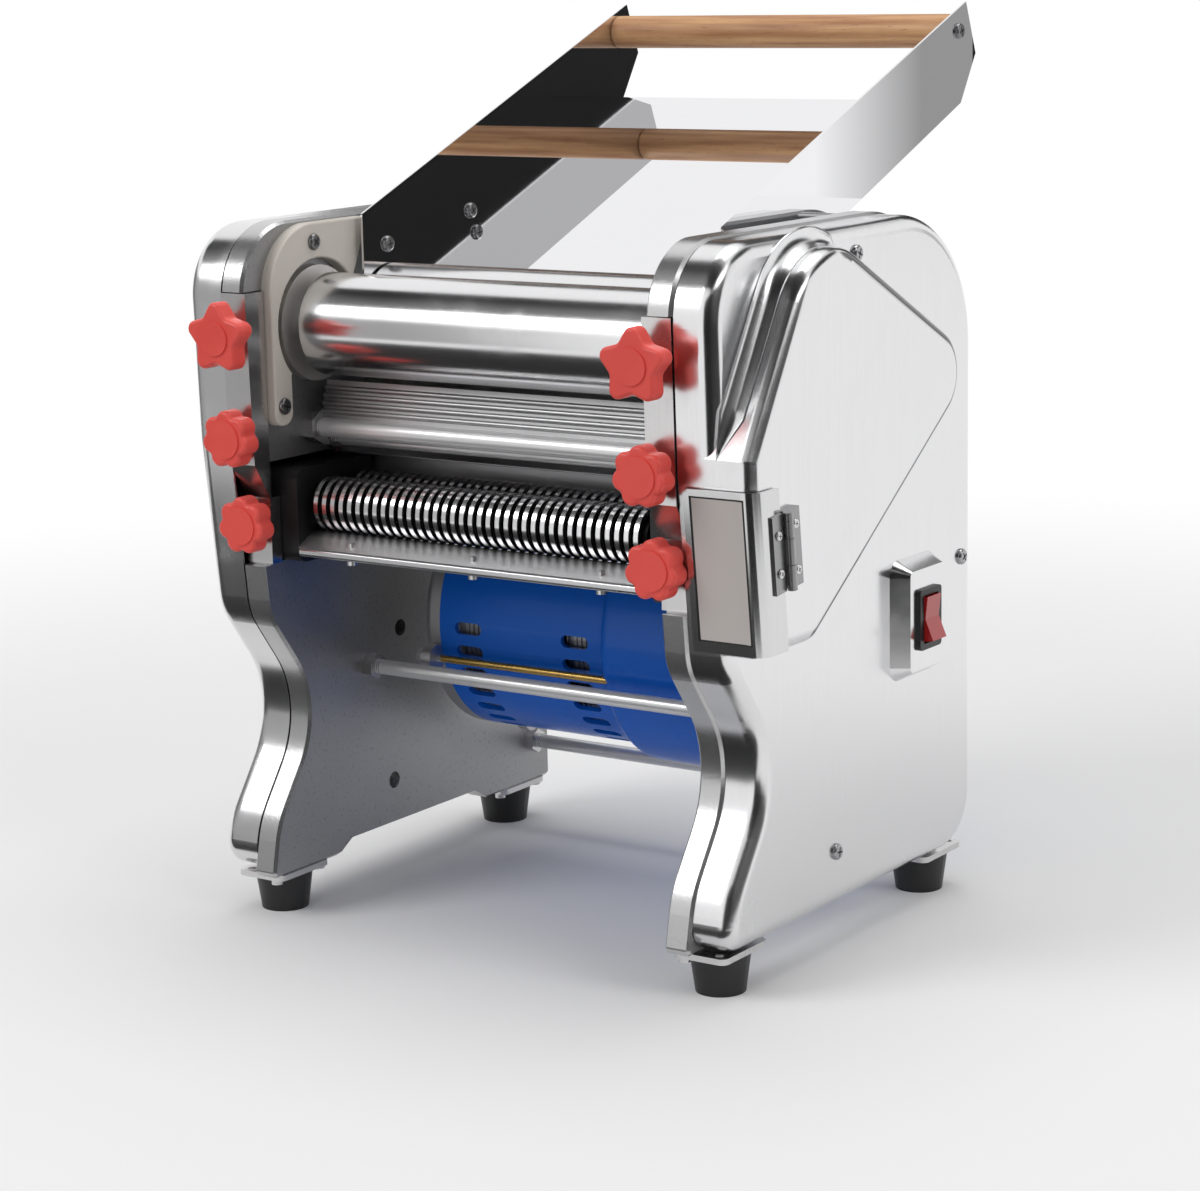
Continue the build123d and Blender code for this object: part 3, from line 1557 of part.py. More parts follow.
star_shape = knob_outline(star_tip_radius, star_valley_radius, star_lobes, star_round)
grip_shape = grip_outline()
star_stud_end = -block_front + block_thread_depth - roller_travel - hub_clearance
mid_stud_end = -recess_front - rest_gap
low_stud_end = -cassette_front - rest_gap
star_body = star_thickness - knob_disc_rise
star_knob = knob(star_shape, star_disc_radius, star_height, star_front, star_body, star_stud_end)
mid_knob = knob(grip_shape, grip_disc_radius, mid_height, mid_front, grip_thickness, mid_stud_end)
low_knob = knob(grip_shape, grip_disc_radius, low_height, low_front, grip_thickness, low_stud_end)

with BuildPart() as right_star_knob:
    add(star_knob)
right_star_knob.part.label = "right_star_knob"
export_step(right_star_knob.part, "parts/right_star_knob.step")

with BuildPart() as left_star_knob:
    add(mirrored(star_knob))
left_star_knob.part.label = "left_star_knob"
export_step(left_star_knob.part, "parts/left_star_knob.step")

with BuildPart() as right_mid_knob:
    add(mid_knob)
right_mid_knob.part.label = "right_mid_knob"
export_step(right_mid_knob.part, "parts/right_mid_knob.step")

with BuildPart() as left_mid_knob:
    add(mirrored(mid_knob))
left_mid_knob.part.label = "left_mid_knob"
export_step(left_mid_knob.part, "parts/left_mid_knob.step")

with BuildPart() as right_low_knob:
    add(low_knob)
right_low_knob.part.label = "right_low_knob"
export_step(right_low_knob.part, "parts/right_low_knob.step")

with BuildPart() as left_low_knob:
    add(mirrored(low_knob))
left_low_knob.part.label = "left_low_knob"
export_step(left_low_knob.part, "parts/left_low_knob.step")

# Rocker switch
box_top = right_face + switch_box_rise
bezel_face = box_top + switch_bezel_thickness
rocker_axis_x = bezel_face - rocker_sink
pocket_half = (rocker_length / 2 + rocker_slack) / math.cos(math.radians(rocker_lean)) + rocker_slack
rocker_dip = rocker_length / 2 * math.sin(math.radians(rocker_lean))
pocket_depth = rocker_sink + rocker_skirt + rocker_dip + rocker_slack

with BuildPart() as switch_housing:
    with BuildSketch(side(box_top)):
        with Locations(switch_place):
            RectangleRounded(switch_bezel_width, switch_bezel_height, switch_bezel_thickness)
    extrude(amount=switch_bezel_thickness)
    with BuildSketch(side(box_top)):
        with Locations(switch_place):
            Rectangle(switch_body_width - slide_gap, switch_body_height - slide_gap)
    extrude(amount=-switch_body_depth)
    with BuildSketch(side(bezel_face)):
        with Locations(switch_place):
            Rectangle(rocker_width + 2 * rest_gap, 2 * pocket_half)
    extrude(amount=-pocket_depth, mode=Mode.SUBTRACT)
switch_housing.part.label = "switch_housing"
export_step(switch_housing.part, "parts/switch_housing.step")

# The rocker rests with its upper end pressed in
rocker_plane = Plane(
    origin=at(rocker_axis_x, (switch_place[0] + rocker_width / 2, switch_place[1])),
    x_dir=(-math.sin(math.radians(rocker_lean)), 0, math.cos(math.radians(rocker_lean))),
    z_dir=(0, -1, 0),
)
with BuildPart() as rocker:
    with BuildSketch(rocker_plane):
        half = rocker_length / 2
        Polygon(
            (-half, rocker_skirt),
            (-half, -rocker_end_rise),
            (0, -rocker_mid_rise),
            (half, -rocker_end_rise),
            (half, rocker_skirt),
        )
    extrude(amount=rocker_width)
rocker.part.label = "rocker"
export_step(rocker.part, "parts/rocker.step")

# Door: front plate parallel to the cover's front edge, flange along the bulge's face
door_left = cover_x + door_left_gap
door_right = bulge_face + door_side_gap
door_lean = math.degrees(math.atan2(kink_front - shoulder_front, kink_height - shoulder_height))


def door_strip(near, far):
    # Strip of (y, z) along the leaning front edge, between two distances ahead of it
    return [
        front_line(door_bottom, cover_inset - near),
        front_line(door_top, cover_inset - near),
        front_line(door_top, cover_inset - far),
        front_line(door_bottom, cover_inset - far),
    ]


door_face = Plane(
    origin=at(door_left, front_line(door_bottom, cover_inset - door_gap - door_sheet)),
    x_dir=(1, 0, 0),
    z_dir=(0, -math.cos(math.radians(door_lean)), -math.sin(math.radians(door_lean))),
)

door_middle = (door_bottom + door_top) / 2
door_inner_corner = at(door_right, front_line(door_middle, cover_inset - door_gap))
door_outer_corner = at(
    door_right + door_sheet,
    front_line(door_middle, cover_inset - door_gap - door_sheet),
)

with BuildPart() as door:
    with BuildSketch(side(door_left)):
        Polygon(*door_strip(door_gap, door_gap + door_sheet))
    extrude(amount=door_right - door_left + door_sheet)
    with BuildSketch(side(door_right)):
        Polygon(*door_strip(-door_flange, door_gap + door_sheet))
    extrude(amount=door_sheet)
    # Bent corner between plate and flange, and the plain panel set back inside the plate's rim
    fillet(door.edges().sort_by_distance(door_inner_corner)[0], radius=door_corner_round - door_sheet)
    fillet(door.edges().sort_by_distance(door_outer_corner)[0], radius=door_corner_round)
    with BuildSketch(door_face):
        with Locations((door_rim, door_rim_bottom)):
            Rectangle(
                door_right + door_sheet - door_left - door_rim - door_rim_right,
                (door_top - door_bottom) / math.cos(math.radians(door_lean)) - door_rim - door_rim_bottom,
                align=(Align.MIN, Align.MIN),
            )
    extrude(amount=-door_recess, mode=Mode.SUBTRACT)
door.part.label = "door"
export_step(door.part, "parts/door.step")

# Hinge of the door: its axis leans with the front edge
hinge_up = (0, -math.sin(math.radians(door_lean)), math.cos(math.radians(door_lean)))
hinge_edge = front_line(hinge_mid_height, cover_inset)
hinge_place = (hinge_edge[0] + door_flange + hinge_barrel_radius + rest_gap, hinge_mid_height)
knuckle = hinge_length / 3
leaf_edge = hinge_barrel_radius + 2 * rest_gap


def hinge_plane(shift):
    # Plane across the hinge pin, at a distance along it from its middle
    centre = step_to(hinge_place, 90 + door_lean, shift)
    return Plane(origin=at(hinge_x, centre), x_dir=(1, 0, 0), z_dir=hinge_up)


def hinge_bar(start, length, radius):
    # Round piece on the hinge's axis
    with BuildPart() as body:
        with BuildSketch(hinge_plane(start)):
            Circle(radius)
        extrude(amount=length)
    return body.part


def hinge_plate(start, length, x_from, x_to, y_from, y_to):
    # Flat piece beside the hinge's axis
    with BuildPart() as body:
        with BuildSketch(hinge_plane(start)):
            with Locations(((x_from + x_to) / 2, (y_from + y_to) / 2)):
                Rectangle(x_to - x_from, y_to - y_from)
        extrude(amount=length)
    return body.part


leaf_low = -hinge_length / 2
door_leaf_x = -hinge_barrel_radius
leaf_face_x = door_leaf_x + hinge_leaf_thickness
gap_knuckle = knuckle + 2 * hinge_knuckle_gap
with BuildPart() as hinge_leaf:
    leaf_root_x = bulge_face - hinge_x
    add(hinge_plate(leaf_low, hinge_length, leaf_root_x, leaf_face_x, 0, leaf_edge + hinge_leaf_width))
    add(hinge_bar(-gap_knuckle / 2, gap_knuckle, leaf_edge), mode=Mode.SUBTRACT)
    for start in (leaf_low, gap_knuckle / 2):
        add(hinge_bar(start, (hinge_length - gap_knuckle) / 2, hinge_barrel_radius))
    add(hinge_bar(leaf_low, hinge_length, hinge_pin_radius))
hinge_leaf.part.label = "hinge_leaf"
export_step(hinge_leaf.part, "parts/hinge_leaf.step")

with BuildPart() as door_leaf:
    leaf_far_edge = -leaf_edge - hinge_leaf_width
    add(hinge_plate(leaf_low, hinge_length, door_leaf_x, leaf_face_x, leaf_far_edge, -leaf_edge))
    add(hinge_plate(-knuckle / 2, knuckle, door_leaf_x, leaf_face_x, -leaf_edge, 0))
    add(hinge_bar(-knuckle / 2, knuckle, hinge_barrel_radius))
    add(hinge_bar(leaf_low, hinge_length, hinge_pin_radius + running_gap), mode=Mode.SUBTRACT)
door_leaf.part.label = "door_leaf"
export_step(door_leaf.part, "parts/door_leaf.step")
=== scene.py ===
import json
import math

import bmesh
import bpy
from mathutils import Matrix, Vector


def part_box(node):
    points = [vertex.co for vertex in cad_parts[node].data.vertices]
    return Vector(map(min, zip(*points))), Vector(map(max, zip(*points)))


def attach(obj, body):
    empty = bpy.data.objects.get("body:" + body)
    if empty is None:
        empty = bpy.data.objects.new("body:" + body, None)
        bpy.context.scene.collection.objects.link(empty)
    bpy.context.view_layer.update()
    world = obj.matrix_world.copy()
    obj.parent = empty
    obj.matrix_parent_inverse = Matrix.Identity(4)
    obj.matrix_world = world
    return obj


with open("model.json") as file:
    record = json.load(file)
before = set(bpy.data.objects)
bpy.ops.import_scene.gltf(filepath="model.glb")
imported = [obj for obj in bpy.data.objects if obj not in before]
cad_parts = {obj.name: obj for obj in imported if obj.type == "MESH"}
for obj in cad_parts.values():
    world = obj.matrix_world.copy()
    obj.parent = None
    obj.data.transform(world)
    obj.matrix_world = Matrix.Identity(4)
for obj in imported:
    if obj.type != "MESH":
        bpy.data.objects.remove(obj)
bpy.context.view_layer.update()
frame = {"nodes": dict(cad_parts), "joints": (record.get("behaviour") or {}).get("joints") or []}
nodes = frame["nodes"]
joints = {joint["name"]: joint for joint in frame["joints"]}
print("frame loaded:", len(nodes), "nodes")

mm = 0.001
black, white = (0.0, 0.0, 0.0), (1.0, 1.0, 1.0)
mergeDistance = 1e-6
frameLeft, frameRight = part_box("left_frame")[0].x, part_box("right_frame")[1].x
feetLow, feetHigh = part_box("feet")
middle = Vector(((frameLeft + frameRight) / 2, (feetLow.y + feetHigh.y) / 2, 0))  # between the side frames


def spot(x, y, z):
    return middle + Vector((x, y, z)) * mm


def newGroup(name, inputs, outputs):
    group = bpy.data.node_groups.new(name, "ShaderNodeTree")
    for label, kind, value in inputs:
        socket = group.interface.new_socket(label, in_out="INPUT", socket_type=kind)
        socket.default_value = value
    for label, kind in outputs:
        group.interface.new_socket(label, in_out="OUTPUT", socket_type=kind)
    return group, group.nodes.new("NodeGroupInput"), group.nodes.new("NodeGroupOutput")


def plug(tree, slot, value):
    if hasattr(value, "is_linked"):
        tree.links.new(value, slot)
    elif isinstance(value, tuple) and len(slot.default_value) == 4:
        slot.default_value = (*value, 1.0)
    else:
        slot.default_value = value


def mathNode(tree, kind, a, b=0.0):
    node = tree.nodes.new("ShaderNodeMath")
    node.operation = kind
    plug(tree, node.inputs[0], a)
    plug(tree, node.inputs[1], b)
    return node.outputs[0]


def squareSum(tree, a, b):
    return mathNode(tree, "ADD", mathNode(tree, "MULTIPLY", a, a), mathNode(tree, "MULTIPLY", b, b))


def least(tree, values):
    found = values[0]
    for value in values[1:]:
        found = mathNode(tree, "MINIMUM", found, value)
    return found


def between(tree, value, low, high):
    over = mathNode(tree, "GREATER_THAN", value, low)
    return mathNode(tree, "MULTIPLY", over, mathNode(tree, "LESS_THAN", value, high))


def distanceFrom(tree, value, centre):
    return mathNode(tree, "ABSOLUTE", mathNode(tree, "SUBTRACT", value, centre))


def rampNode(tree, source, low, high, lowValue=0.0, highValue=1.0):
    node = tree.nodes.new("ShaderNodeMapRange")
    for slot, value in zip(node.inputs, (source, low, high, lowValue, highValue)):
        plug(tree, slot, value)
    return node.outputs[0]


def spread(tree, mask, lowValue, highValue):
    return rampNode(tree, mask, 0.0, 1.0, lowValue, highValue)


def mixColour(tree, factor, a, b):
    node = tree.nodes.new("ShaderNodeMix")
    node.data_type = "RGBA"
    plug(tree, node.inputs[0], factor)
    plug(tree, node.inputs[6], a)  # 6, 7 and 2 are the node's colour sockets
    plug(tree, node.inputs[7], b)
    return node.outputs[2]


def noiseNode(tree, vector, scale, detail):
    node = tree.nodes.new("ShaderNodeTexNoise")
    node.inputs["Detail"].default_value = detail
    plug(tree, node.inputs["Vector"], vector)
    plug(tree, node.inputs["Scale"], scale)
    return node.outputs[0]


def brushedGroup():
    # fine parallel lines, slow clouds and a few handling marks, for ground sheet and turned steel
    brush = {
        "lineDetail": 3.0, "cloudDetail": 4.0, "markDetail": 6.0,
        "markScale": 4.0, "markBand": (0.56, 0.72),
    }
    group, given, out = newGroup(
        "brushedLines",
        [
            ("Stretch", "NodeSocketVector", (1, 1, 1)),
            ("Fine", "NodeSocketFloat", 900.0),
            ("Slow", "NodeSocketFloat", 9.0),
        ],
        [("Lines", "NodeSocketFloat"), ("Cloud", "NodeSocketFloat"), ("Marks", "NodeSocketFloat")],
    )
    fine, slow = given.outputs["Fine"], given.outputs["Slow"]
    place = group.nodes.new("ShaderNodeTexCoord").outputs["Object"]
    scale = group.nodes.new("ShaderNodeVectorMath")
    scale.operation = "MULTIPLY"
    plug(group, scale.inputs[0], place)
    plug(group, scale.inputs[1], given.outputs["Stretch"])
    plug(group, out.inputs["Lines"], noiseNode(group, scale.outputs[0], fine, brush["lineDetail"]))
    plug(group, out.inputs["Cloud"], noiseNode(group, place, slow, brush["cloudDetail"]))
    smearScale = mathNode(group, "MULTIPLY", slow, brush["markScale"])
    smear = noiseNode(group, place, smearScale, brush["markDetail"])
    plug(group, out.inputs["Marks"], rampNode(group, smear, *brush["markBand"]))
    return group


def speckleGroup():
    # grain of castings, mouldings and rubber
    speckle = {"grainDetail": 2.0, "cloudDetail": 5.0, "pitBand": (0.30, 0.40)}
    group, given, out = newGroup(
        "grainSpeckle",
        [("Size", "NodeSocketFloat", 700.0), ("Slow", "NodeSocketFloat", 14.0)],
        [("Grain", "NodeSocketFloat"), ("Cloud", "NodeSocketFloat"), ("Pits", "NodeSocketFloat")],
    )
    place = group.nodes.new("ShaderNodeTexCoord").outputs["Object"]
    grain = noiseNode(group, place, given.outputs["Size"], speckle["grainDetail"])
    cloud = noiseNode(group, place, given.outputs["Slow"], speckle["cloudDetail"])
    plug(group, out.inputs["Grain"], grain)
    plug(group, out.inputs["Cloud"], cloud)
    plug(group, out.inputs["Pits"], rampNode(group, grain, *speckle["pitBand"], 1.0, 0.0))
    return group


def axisGroup():
    # distance from a line along x, for the cutters' rings
    group, given, out = newGroup(
        "aroundAxis",
        [("Y", "NodeSocketFloat", 0.0), ("Z", "NodeSocketFloat", 0.0)],
        [("Distance", "NodeSocketFloat")],
    )
    apart = group.nodes.new("ShaderNodeSeparateXYZ")
    plug(group, apart.inputs[0], group.nodes.new("ShaderNodeTexCoord").outputs["Object"])
    acrossY = mathNode(group, "SUBTRACT", apart.outputs["Y"], given.outputs["Y"])
    acrossZ = mathNode(group, "SUBTRACT", apart.outputs["Z"], given.outputs["Z"])
    plug(group, out.inputs["Distance"], mathNode(group, "SQRT", squareSum(group, acrossY, acrossZ)))
    return group


brushedLines = brushedGroup()
grainSpeckle = speckleGroup()
aroundAxis = axisGroup()


def newMaterial(name, metallic=0.0):
    material = bpy.data.materials.new(name)
    material.use_nodes = True
    tree = material.node_tree
    shader = tree.nodes["Principled BSDF"]
    shader.inputs["Metallic"].default_value = metallic
    return material, tree, shader


def addGroup(tree, group, values):
    node = tree.nodes.new("ShaderNodeGroup")
    node.node_tree = group
    for label, value in values.items():
        node.inputs[label].default_value = value
    return node


def addBump(tree, shader, height, strength, distance):
    bump = tree.nodes.new("ShaderNodeBump")
    bump.inputs["Strength"].default_value = strength
    bump.inputs["Distance"].default_value = distance
    plug(tree, bump.inputs["Height"], height)
    plug(tree, shader.inputs["Normal"], bump.outputs[0])


def objectPlace(tree):
    apart = tree.nodes.new("ShaderNodeSeparateXYZ")
    plug(tree, apart.inputs[0], tree.nodes.new("ShaderNodeTexCoord").outputs["Object"])
    return apart.outputs


def facing(tree, axis):
    apart = tree.nodes.new("ShaderNodeSeparateXYZ")
    plug(tree, apart.inputs[0], tree.nodes.new("ShaderNodeNewGeometry").outputs["Normal"])
    return apart.outputs[axis]


def tone(tint, share):
    return tuple(channel * share for channel in tint)


def shaded(tree, mask, tint, share):
    return mixColour(tree, mask, tone(tint, share), tint)


relief = {"line": 0.05 * mm, "grain": 0.2 * mm, "thread": 0.3 * mm}  # how far the bumps reach
cloudBand = (0.3, 0.7)  # the clouds' usual values, spread over a range of roughness
steelWear = {"low": 0.8, "high": 1.2, "marks": 0.35}  # shares of the roughness
mouldWear = {"low": 0.85, "high": 1.15}


def cloudRough(tree, shader, grain, low, high):
    rough = rampNode(tree, grain.outputs["Cloud"], *cloudBand, low, high)
    plug(tree, shader.inputs["Roughness"], rough)


def wornRough(tree, shader, grain, rough):
    low, high = rough * steelWear["low"], rough * steelWear["high"]
    base = rampNode(tree, grain.outputs["Cloud"], *cloudBand, low, high)
    worn = mathNode(tree, "MULTIPLY", grain.outputs["Marks"], rough * steelWear["marks"])
    plug(tree, shader.inputs["Roughness"], mathNode(tree, "ADD", base, worn))


def steel(name, tint, rough, stretch, fine=900.0, lineDepth=0.06, shade=0.9):
    material, tree, shader = newMaterial(name, metallic=1.0)
    grain = addGroup(tree, brushedLines, {"Stretch": stretch, "Fine": fine})
    wornRough(tree, shader, grain, rough)
    plug(tree, shader.inputs["Base Color"], shaded(tree, grain.outputs["Lines"], tint, shade))
    if lineDepth:
        addBump(tree, shader, grain.outputs["Lines"], lineDepth, relief["line"])
    return material


def moulded(name, tint, rough, size=700.0, depth=0.1, shade=0.9, metallic=0.0, coat=0.0, gloss=0.5):
    material, tree, shader = newMaterial(name, metallic)
    shader.inputs["Coat Weight"].default_value = coat
    shader.inputs["Specular IOR Level"].default_value = gloss
    grain = addGroup(tree, grainSpeckle, {"Size": size})
    plug(tree, shader.inputs["Base Color"], shaded(tree, grain.outputs["Cloud"], tint, shade))
    cloudRough(tree, shader, grain, rough * mouldWear["low"], rough * mouldWear["high"])
    addBump(tree, shader, grain.outputs["Grain"], depth, relief["grain"])
    return material


def frameCasting():
    # shot-blasted inner faces, darkened partly by painted shade, and machined bright edges
    look = {
        "face": (0.43, 0.43, 0.435), "edge": (0.60, 0.60, 0.605), "pit": (0.20, 0.20, 0.20),
        "faceShade": 0.78, "edgeShade": 0.9, "pitShare": 0.5,
        "edgeRough": 0.26, "faceRough": 0.44, "grainDepth": 0.22,
        "turned": (0.75, 0.97),  # the normal's share along x, from edge to face
    }
    material, tree, shader = newMaterial("frameCasting", metallic=0.9)
    grain = addGroup(tree, grainSpeckle, {"Size": 520.0, "Slow": 16.0})
    flat = rampNode(tree, mathNode(tree, "ABSOLUTE", facing(tree, "X")), *look["turned"])
    blastedShadedFace = shaded(tree, grain.outputs["Cloud"], look["face"], look["faceShade"])
    pits = mathNode(tree, "MULTIPLY", grain.outputs["Pits"], look["pitShare"])
    blastedShadedFace = mixColour(tree, pits, blastedShadedFace, look["pit"])
    machined = shaded(tree, grain.outputs["Cloud"], look["edge"], look["edgeShade"])
    # the faces along x are kept darker than the edges, partly as painted shade
    plug(tree, shader.inputs["Base Color"], mixColour(tree, flat, machined, blastedShadedFace))
    plug(tree, shader.inputs["Roughness"], spread(tree, flat, look["edgeRough"], look["faceRough"]))
    addBump(tree, shader, grain.outputs["Grain"], look["grainDepth"], relief["grain"])
    return material


def coverSheet():
    # brushed stainless; painted shade, near black, in the pressed edge behind the drive bulge
    look = {
        "tint": (0.80, 0.80, 0.81), "shade": 0.94, "rough": 0.20, "lineDepth": 0.03,
        "paintedEdgeShade": (0.10, 0.10, 0.10), "bulge": spot(164.0, 0, 0).x,
        "edgeStart": (0.72, 0.80), "edgeEnd": (0.97, 0.99), "rear": (0.02, 0.06),  # shares of the normal
    }
    material, tree, shader = newMaterial("coverSheet", metallic=1.0)
    grain = addGroup(tree, brushedLines, {"Stretch": (1.0, 1.0, 0.02), "Fine": 900.0, "Slow": 9.0})
    sheet = shaded(tree, grain.outputs["Lines"], look["tint"], look["shade"])
    aside = facing(tree, "X")
    offFace = rampNode(tree, aside, *look["edgeEnd"], 1.0, 0.0)
    turned = mathNode(tree, "MULTIPLY", offFace, rampNode(tree, aside, *look["edgeStart"]))
    onBulge = mathNode(tree, "GREATER_THAN", objectPlace(tree)["X"], look["bulge"])
    rear = mathNode(tree, "MULTIPLY", rampNode(tree, facing(tree, "Y"), *look["rear"]), onBulge)
    # the near-black colour along the bulge's rear edge is painted shade
    edge = mathNode(tree, "MULTIPLY", turned, rear)
    plug(tree, shader.inputs["Base Color"], mixColour(tree, edge, sheet, look["paintedEdgeShade"]))
    wornRough(tree, shader, grain, look["rough"])
    addBump(tree, shader, grain.outputs["Lines"], look["lineDepth"], relief["line"])
    return material


def combSteel():
    # sheet in its own tone at its foot, with painted shade where its teeth stand between the rings
    look = {
        "sheet": (0.88, 0.88, 0.89), "shade": 0.9, "rough": (0.38, 0.48), "lineDepth": 0.05,
        "teeth": (0.06, 0.06, 0.06), "dark": 18.5 * mm, "bright": 24.0 * mm,
    }
    material, tree, shader = newMaterial("combSteel", metallic=1.0)
    grain = addGroup(tree, brushedLines, {"Stretch": (0.04, 1.0, 1.0), "Fine": 700.0, "Slow": 30.0})
    low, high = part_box("combs")
    away = distanceFrom(tree, objectPlace(tree)["Y"], (low.y + high.y) / 2)
    foot = rampNode(tree, away, look["dark"], look["bright"])
    sheet = shaded(tree, grain.outputs["Lines"], look["sheet"], look["shade"])
    # near-black painted shade on the teeth under the rings
    plug(tree, shader.inputs["Base Color"], mixColour(tree, foot, look["teeth"], sheet))
    cloudRough(tree, shader, grain, *look["rough"])
    addBump(tree, shader, grain.outputs["Lines"], look["lineDepth"], relief["line"])
    return material


def cutterSteel():
    # bright ring crowns over grooves painted near black as shade, round both shafts
    look = {
        "crown": (0.82, 0.82, 0.83), "crownRough": 0.2, "bright": 12.8 * mm, "lineDepth": 0.05,
        "groove": (0.012, 0.012, 0.012), "grooveRough": 0.5, "dark": 11.2 * mm,
    }
    material, tree, shader = newMaterial("cutterSteel", metallic=1.0)
    rings = []
    for name in ("front_cutter", "rear_cutter"):
        low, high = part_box(name)
        axis = {"Y": (low.y + high.y) / 2, "Z": (low.z + high.z) / 2}
        rings.append(addGroup(tree, aroundAxis, axis).outputs["Distance"])
    crown = rampNode(tree, least(tree, rings), look["dark"], look["bright"])
    # the grooves between the rings carry painted shade
    plug(tree, shader.inputs["Base Color"], mixColour(tree, crown, look["groove"], look["crown"]))
    plug(tree, shader.inputs["Roughness"], spread(tree, crown, look["grooveRough"], look["crownRough"]))
    grain = addGroup(tree, brushedLines, {"Stretch": (1.0, 0.05, 0.05), "Fine": 900.0, "Slow": 20.0})
    addBump(tree, shader, grain.outputs["Lines"], look["lineDepth"], relief["line"])
    return material


def knobMoulding():
    # coral moulding on a steel stud
    look = {
        "moulding": (0.86, 0.105, 0.085), "shade": (0.74, 0.07, 0.058), "gloss": 0.4, "rough": (0.30, 0.42),
        "grainDepth": 0.12, "stud": (0.70, 0.70, 0.71), "studRadius": 3.3 * mm,
        "barrel": 0.6,  # the normal's share along y, below which a face is round the stud
    }
    material, tree, shader = newMaterial("knobMoulding")
    shader.inputs["Specular IOR Level"].default_value = look["gloss"]
    grain = addGroup(tree, grainSpeckle, {"Size": 420.0, "Slow": 60.0})
    red = mixColour(tree, grain.outputs["Cloud"], look["shade"], look["moulding"])
    place = objectPlace(tree)
    squares = []
    for name in ("star_turn", "mid_turn", "low_turn"):
        left, right = (Vector(joints[side + name]["pos_m"]) for side in ("left_", "right_"))
        aside = distanceFrom(tree, place["X"], (left.x + right.x) / 2)
        aside = mathNode(tree, "SUBTRACT", aside, (right.x - left.x) / 2)
        above = mathNode(tree, "SUBTRACT", place["Z"], left.z)
        squares.append(squareSum(tree, aside, above))
    inReach = mathNode(tree, "LESS_THAN", least(tree, squares), look["studRadius"] ** 2)
    barrel = mathNode(tree, "LESS_THAN", mathNode(tree, "ABSOLUTE", facing(tree, "Y")), look["barrel"])
    stud = mathNode(tree, "MULTIPLY", inReach, barrel)
    plug(tree, shader.inputs["Base Color"], mixColour(tree, stud, red, look["stud"]))
    plug(tree, shader.inputs["Metallic"], stud)
    cloudRough(tree, shader, grain, *look["rough"])
    addBump(tree, shader, grain.outputs["Grain"], look["grainDepth"], relief["grain"])
    return material


def rodSteel():
    # drawn rod, with a rolled thread at both ends whose grooves carry painted shade
    look = {
        "tint": (0.80, 0.80, 0.81), "rough": (0.28, 0.36), "bumpDepth": 0.8, "lineShare": 0.05,
        "pitch": 1.25 * mm, "thread": 20.0 * mm, "runOut": 0.5 * mm,
        "grooveShade": 0.3, "groove": (-0.6, -0.2),  # part of the thread's wave that is dark
    }
    material, tree, shader = newMaterial("rodSteel", metallic=0.6)
    grain = addGroup(tree, brushedLines, {"Stretch": (0.05, 1.0, 1.0), "Fine": 700.0, "Slow": 18.0})
    place = objectPlace(tree)
    low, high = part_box("tie_rods")
    aside = distanceFrom(tree, place["X"], (low.x + high.x) / 2)
    threadStart = (high.x - low.x) / 2 - look["thread"]
    threaded = rampNode(tree, aside, threadStart, threadStart + look["runOut"])
    wave = mathNode(tree, "SINE", mathNode(tree, "MULTIPLY", place["X"], 2 * math.pi / look["pitch"]))
    ridge = mathNode(tree, "MULTIPLY", threaded, wave)
    groove = rampNode(tree, ridge, *look["groove"], 1.0, 0.0)
    paintedGrooveShade = tone(look["tint"], look["grooveShade"])
    # painted shade in the thread's grooves
    plug(tree, shader.inputs["Base Color"], mixColour(tree, groove, look["tint"], paintedGrooveShade))
    cloudRough(tree, shader, grain, *look["rough"])
    lines = mathNode(tree, "MULTIPLY", grain.outputs["Lines"], look["lineShare"])
    addBump(tree, shader, mathNode(tree, "ADD", ridge, lines), look["bumpDepth"], relief["thread"])
    return material


def boltZinc():
    # yellow zinc rods with bright nuts
    look = {
        "zinc": (0.68, 0.48, 0.14), "stain": (0.62, 0.36, 0.12), "rough": (0.22, 0.34), "lineDepth": 0.08,
        "nut": (0.66, 0.66, 0.67), "nutLength": 14.0 * mm, "fade": 0.3 * mm,
    }
    material, tree, shader = newMaterial("boltZinc", metallic=1.0)
    grain = addGroup(tree, brushedLines, {"Stretch": (0.05, 1.0, 1.0), "Fine": 600.0, "Slow": 60.0})
    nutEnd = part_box("motor_bolts")[0].x + look["nutLength"]
    bright = rampNode(tree, objectPlace(tree)["X"], nutEnd, nutEnd + look["fade"], 1.0, 0.0)
    stained = mixColour(tree, grain.outputs["Cloud"], look["stain"], look["zinc"])
    plug(tree, shader.inputs["Base Color"], mixColour(tree, bright, stained, look["nut"]))
    cloudRough(tree, shader, grain, *look["rough"])
    addBump(tree, shader, grain.outputs["Lines"], look["lineDepth"], relief["line"])
    return material


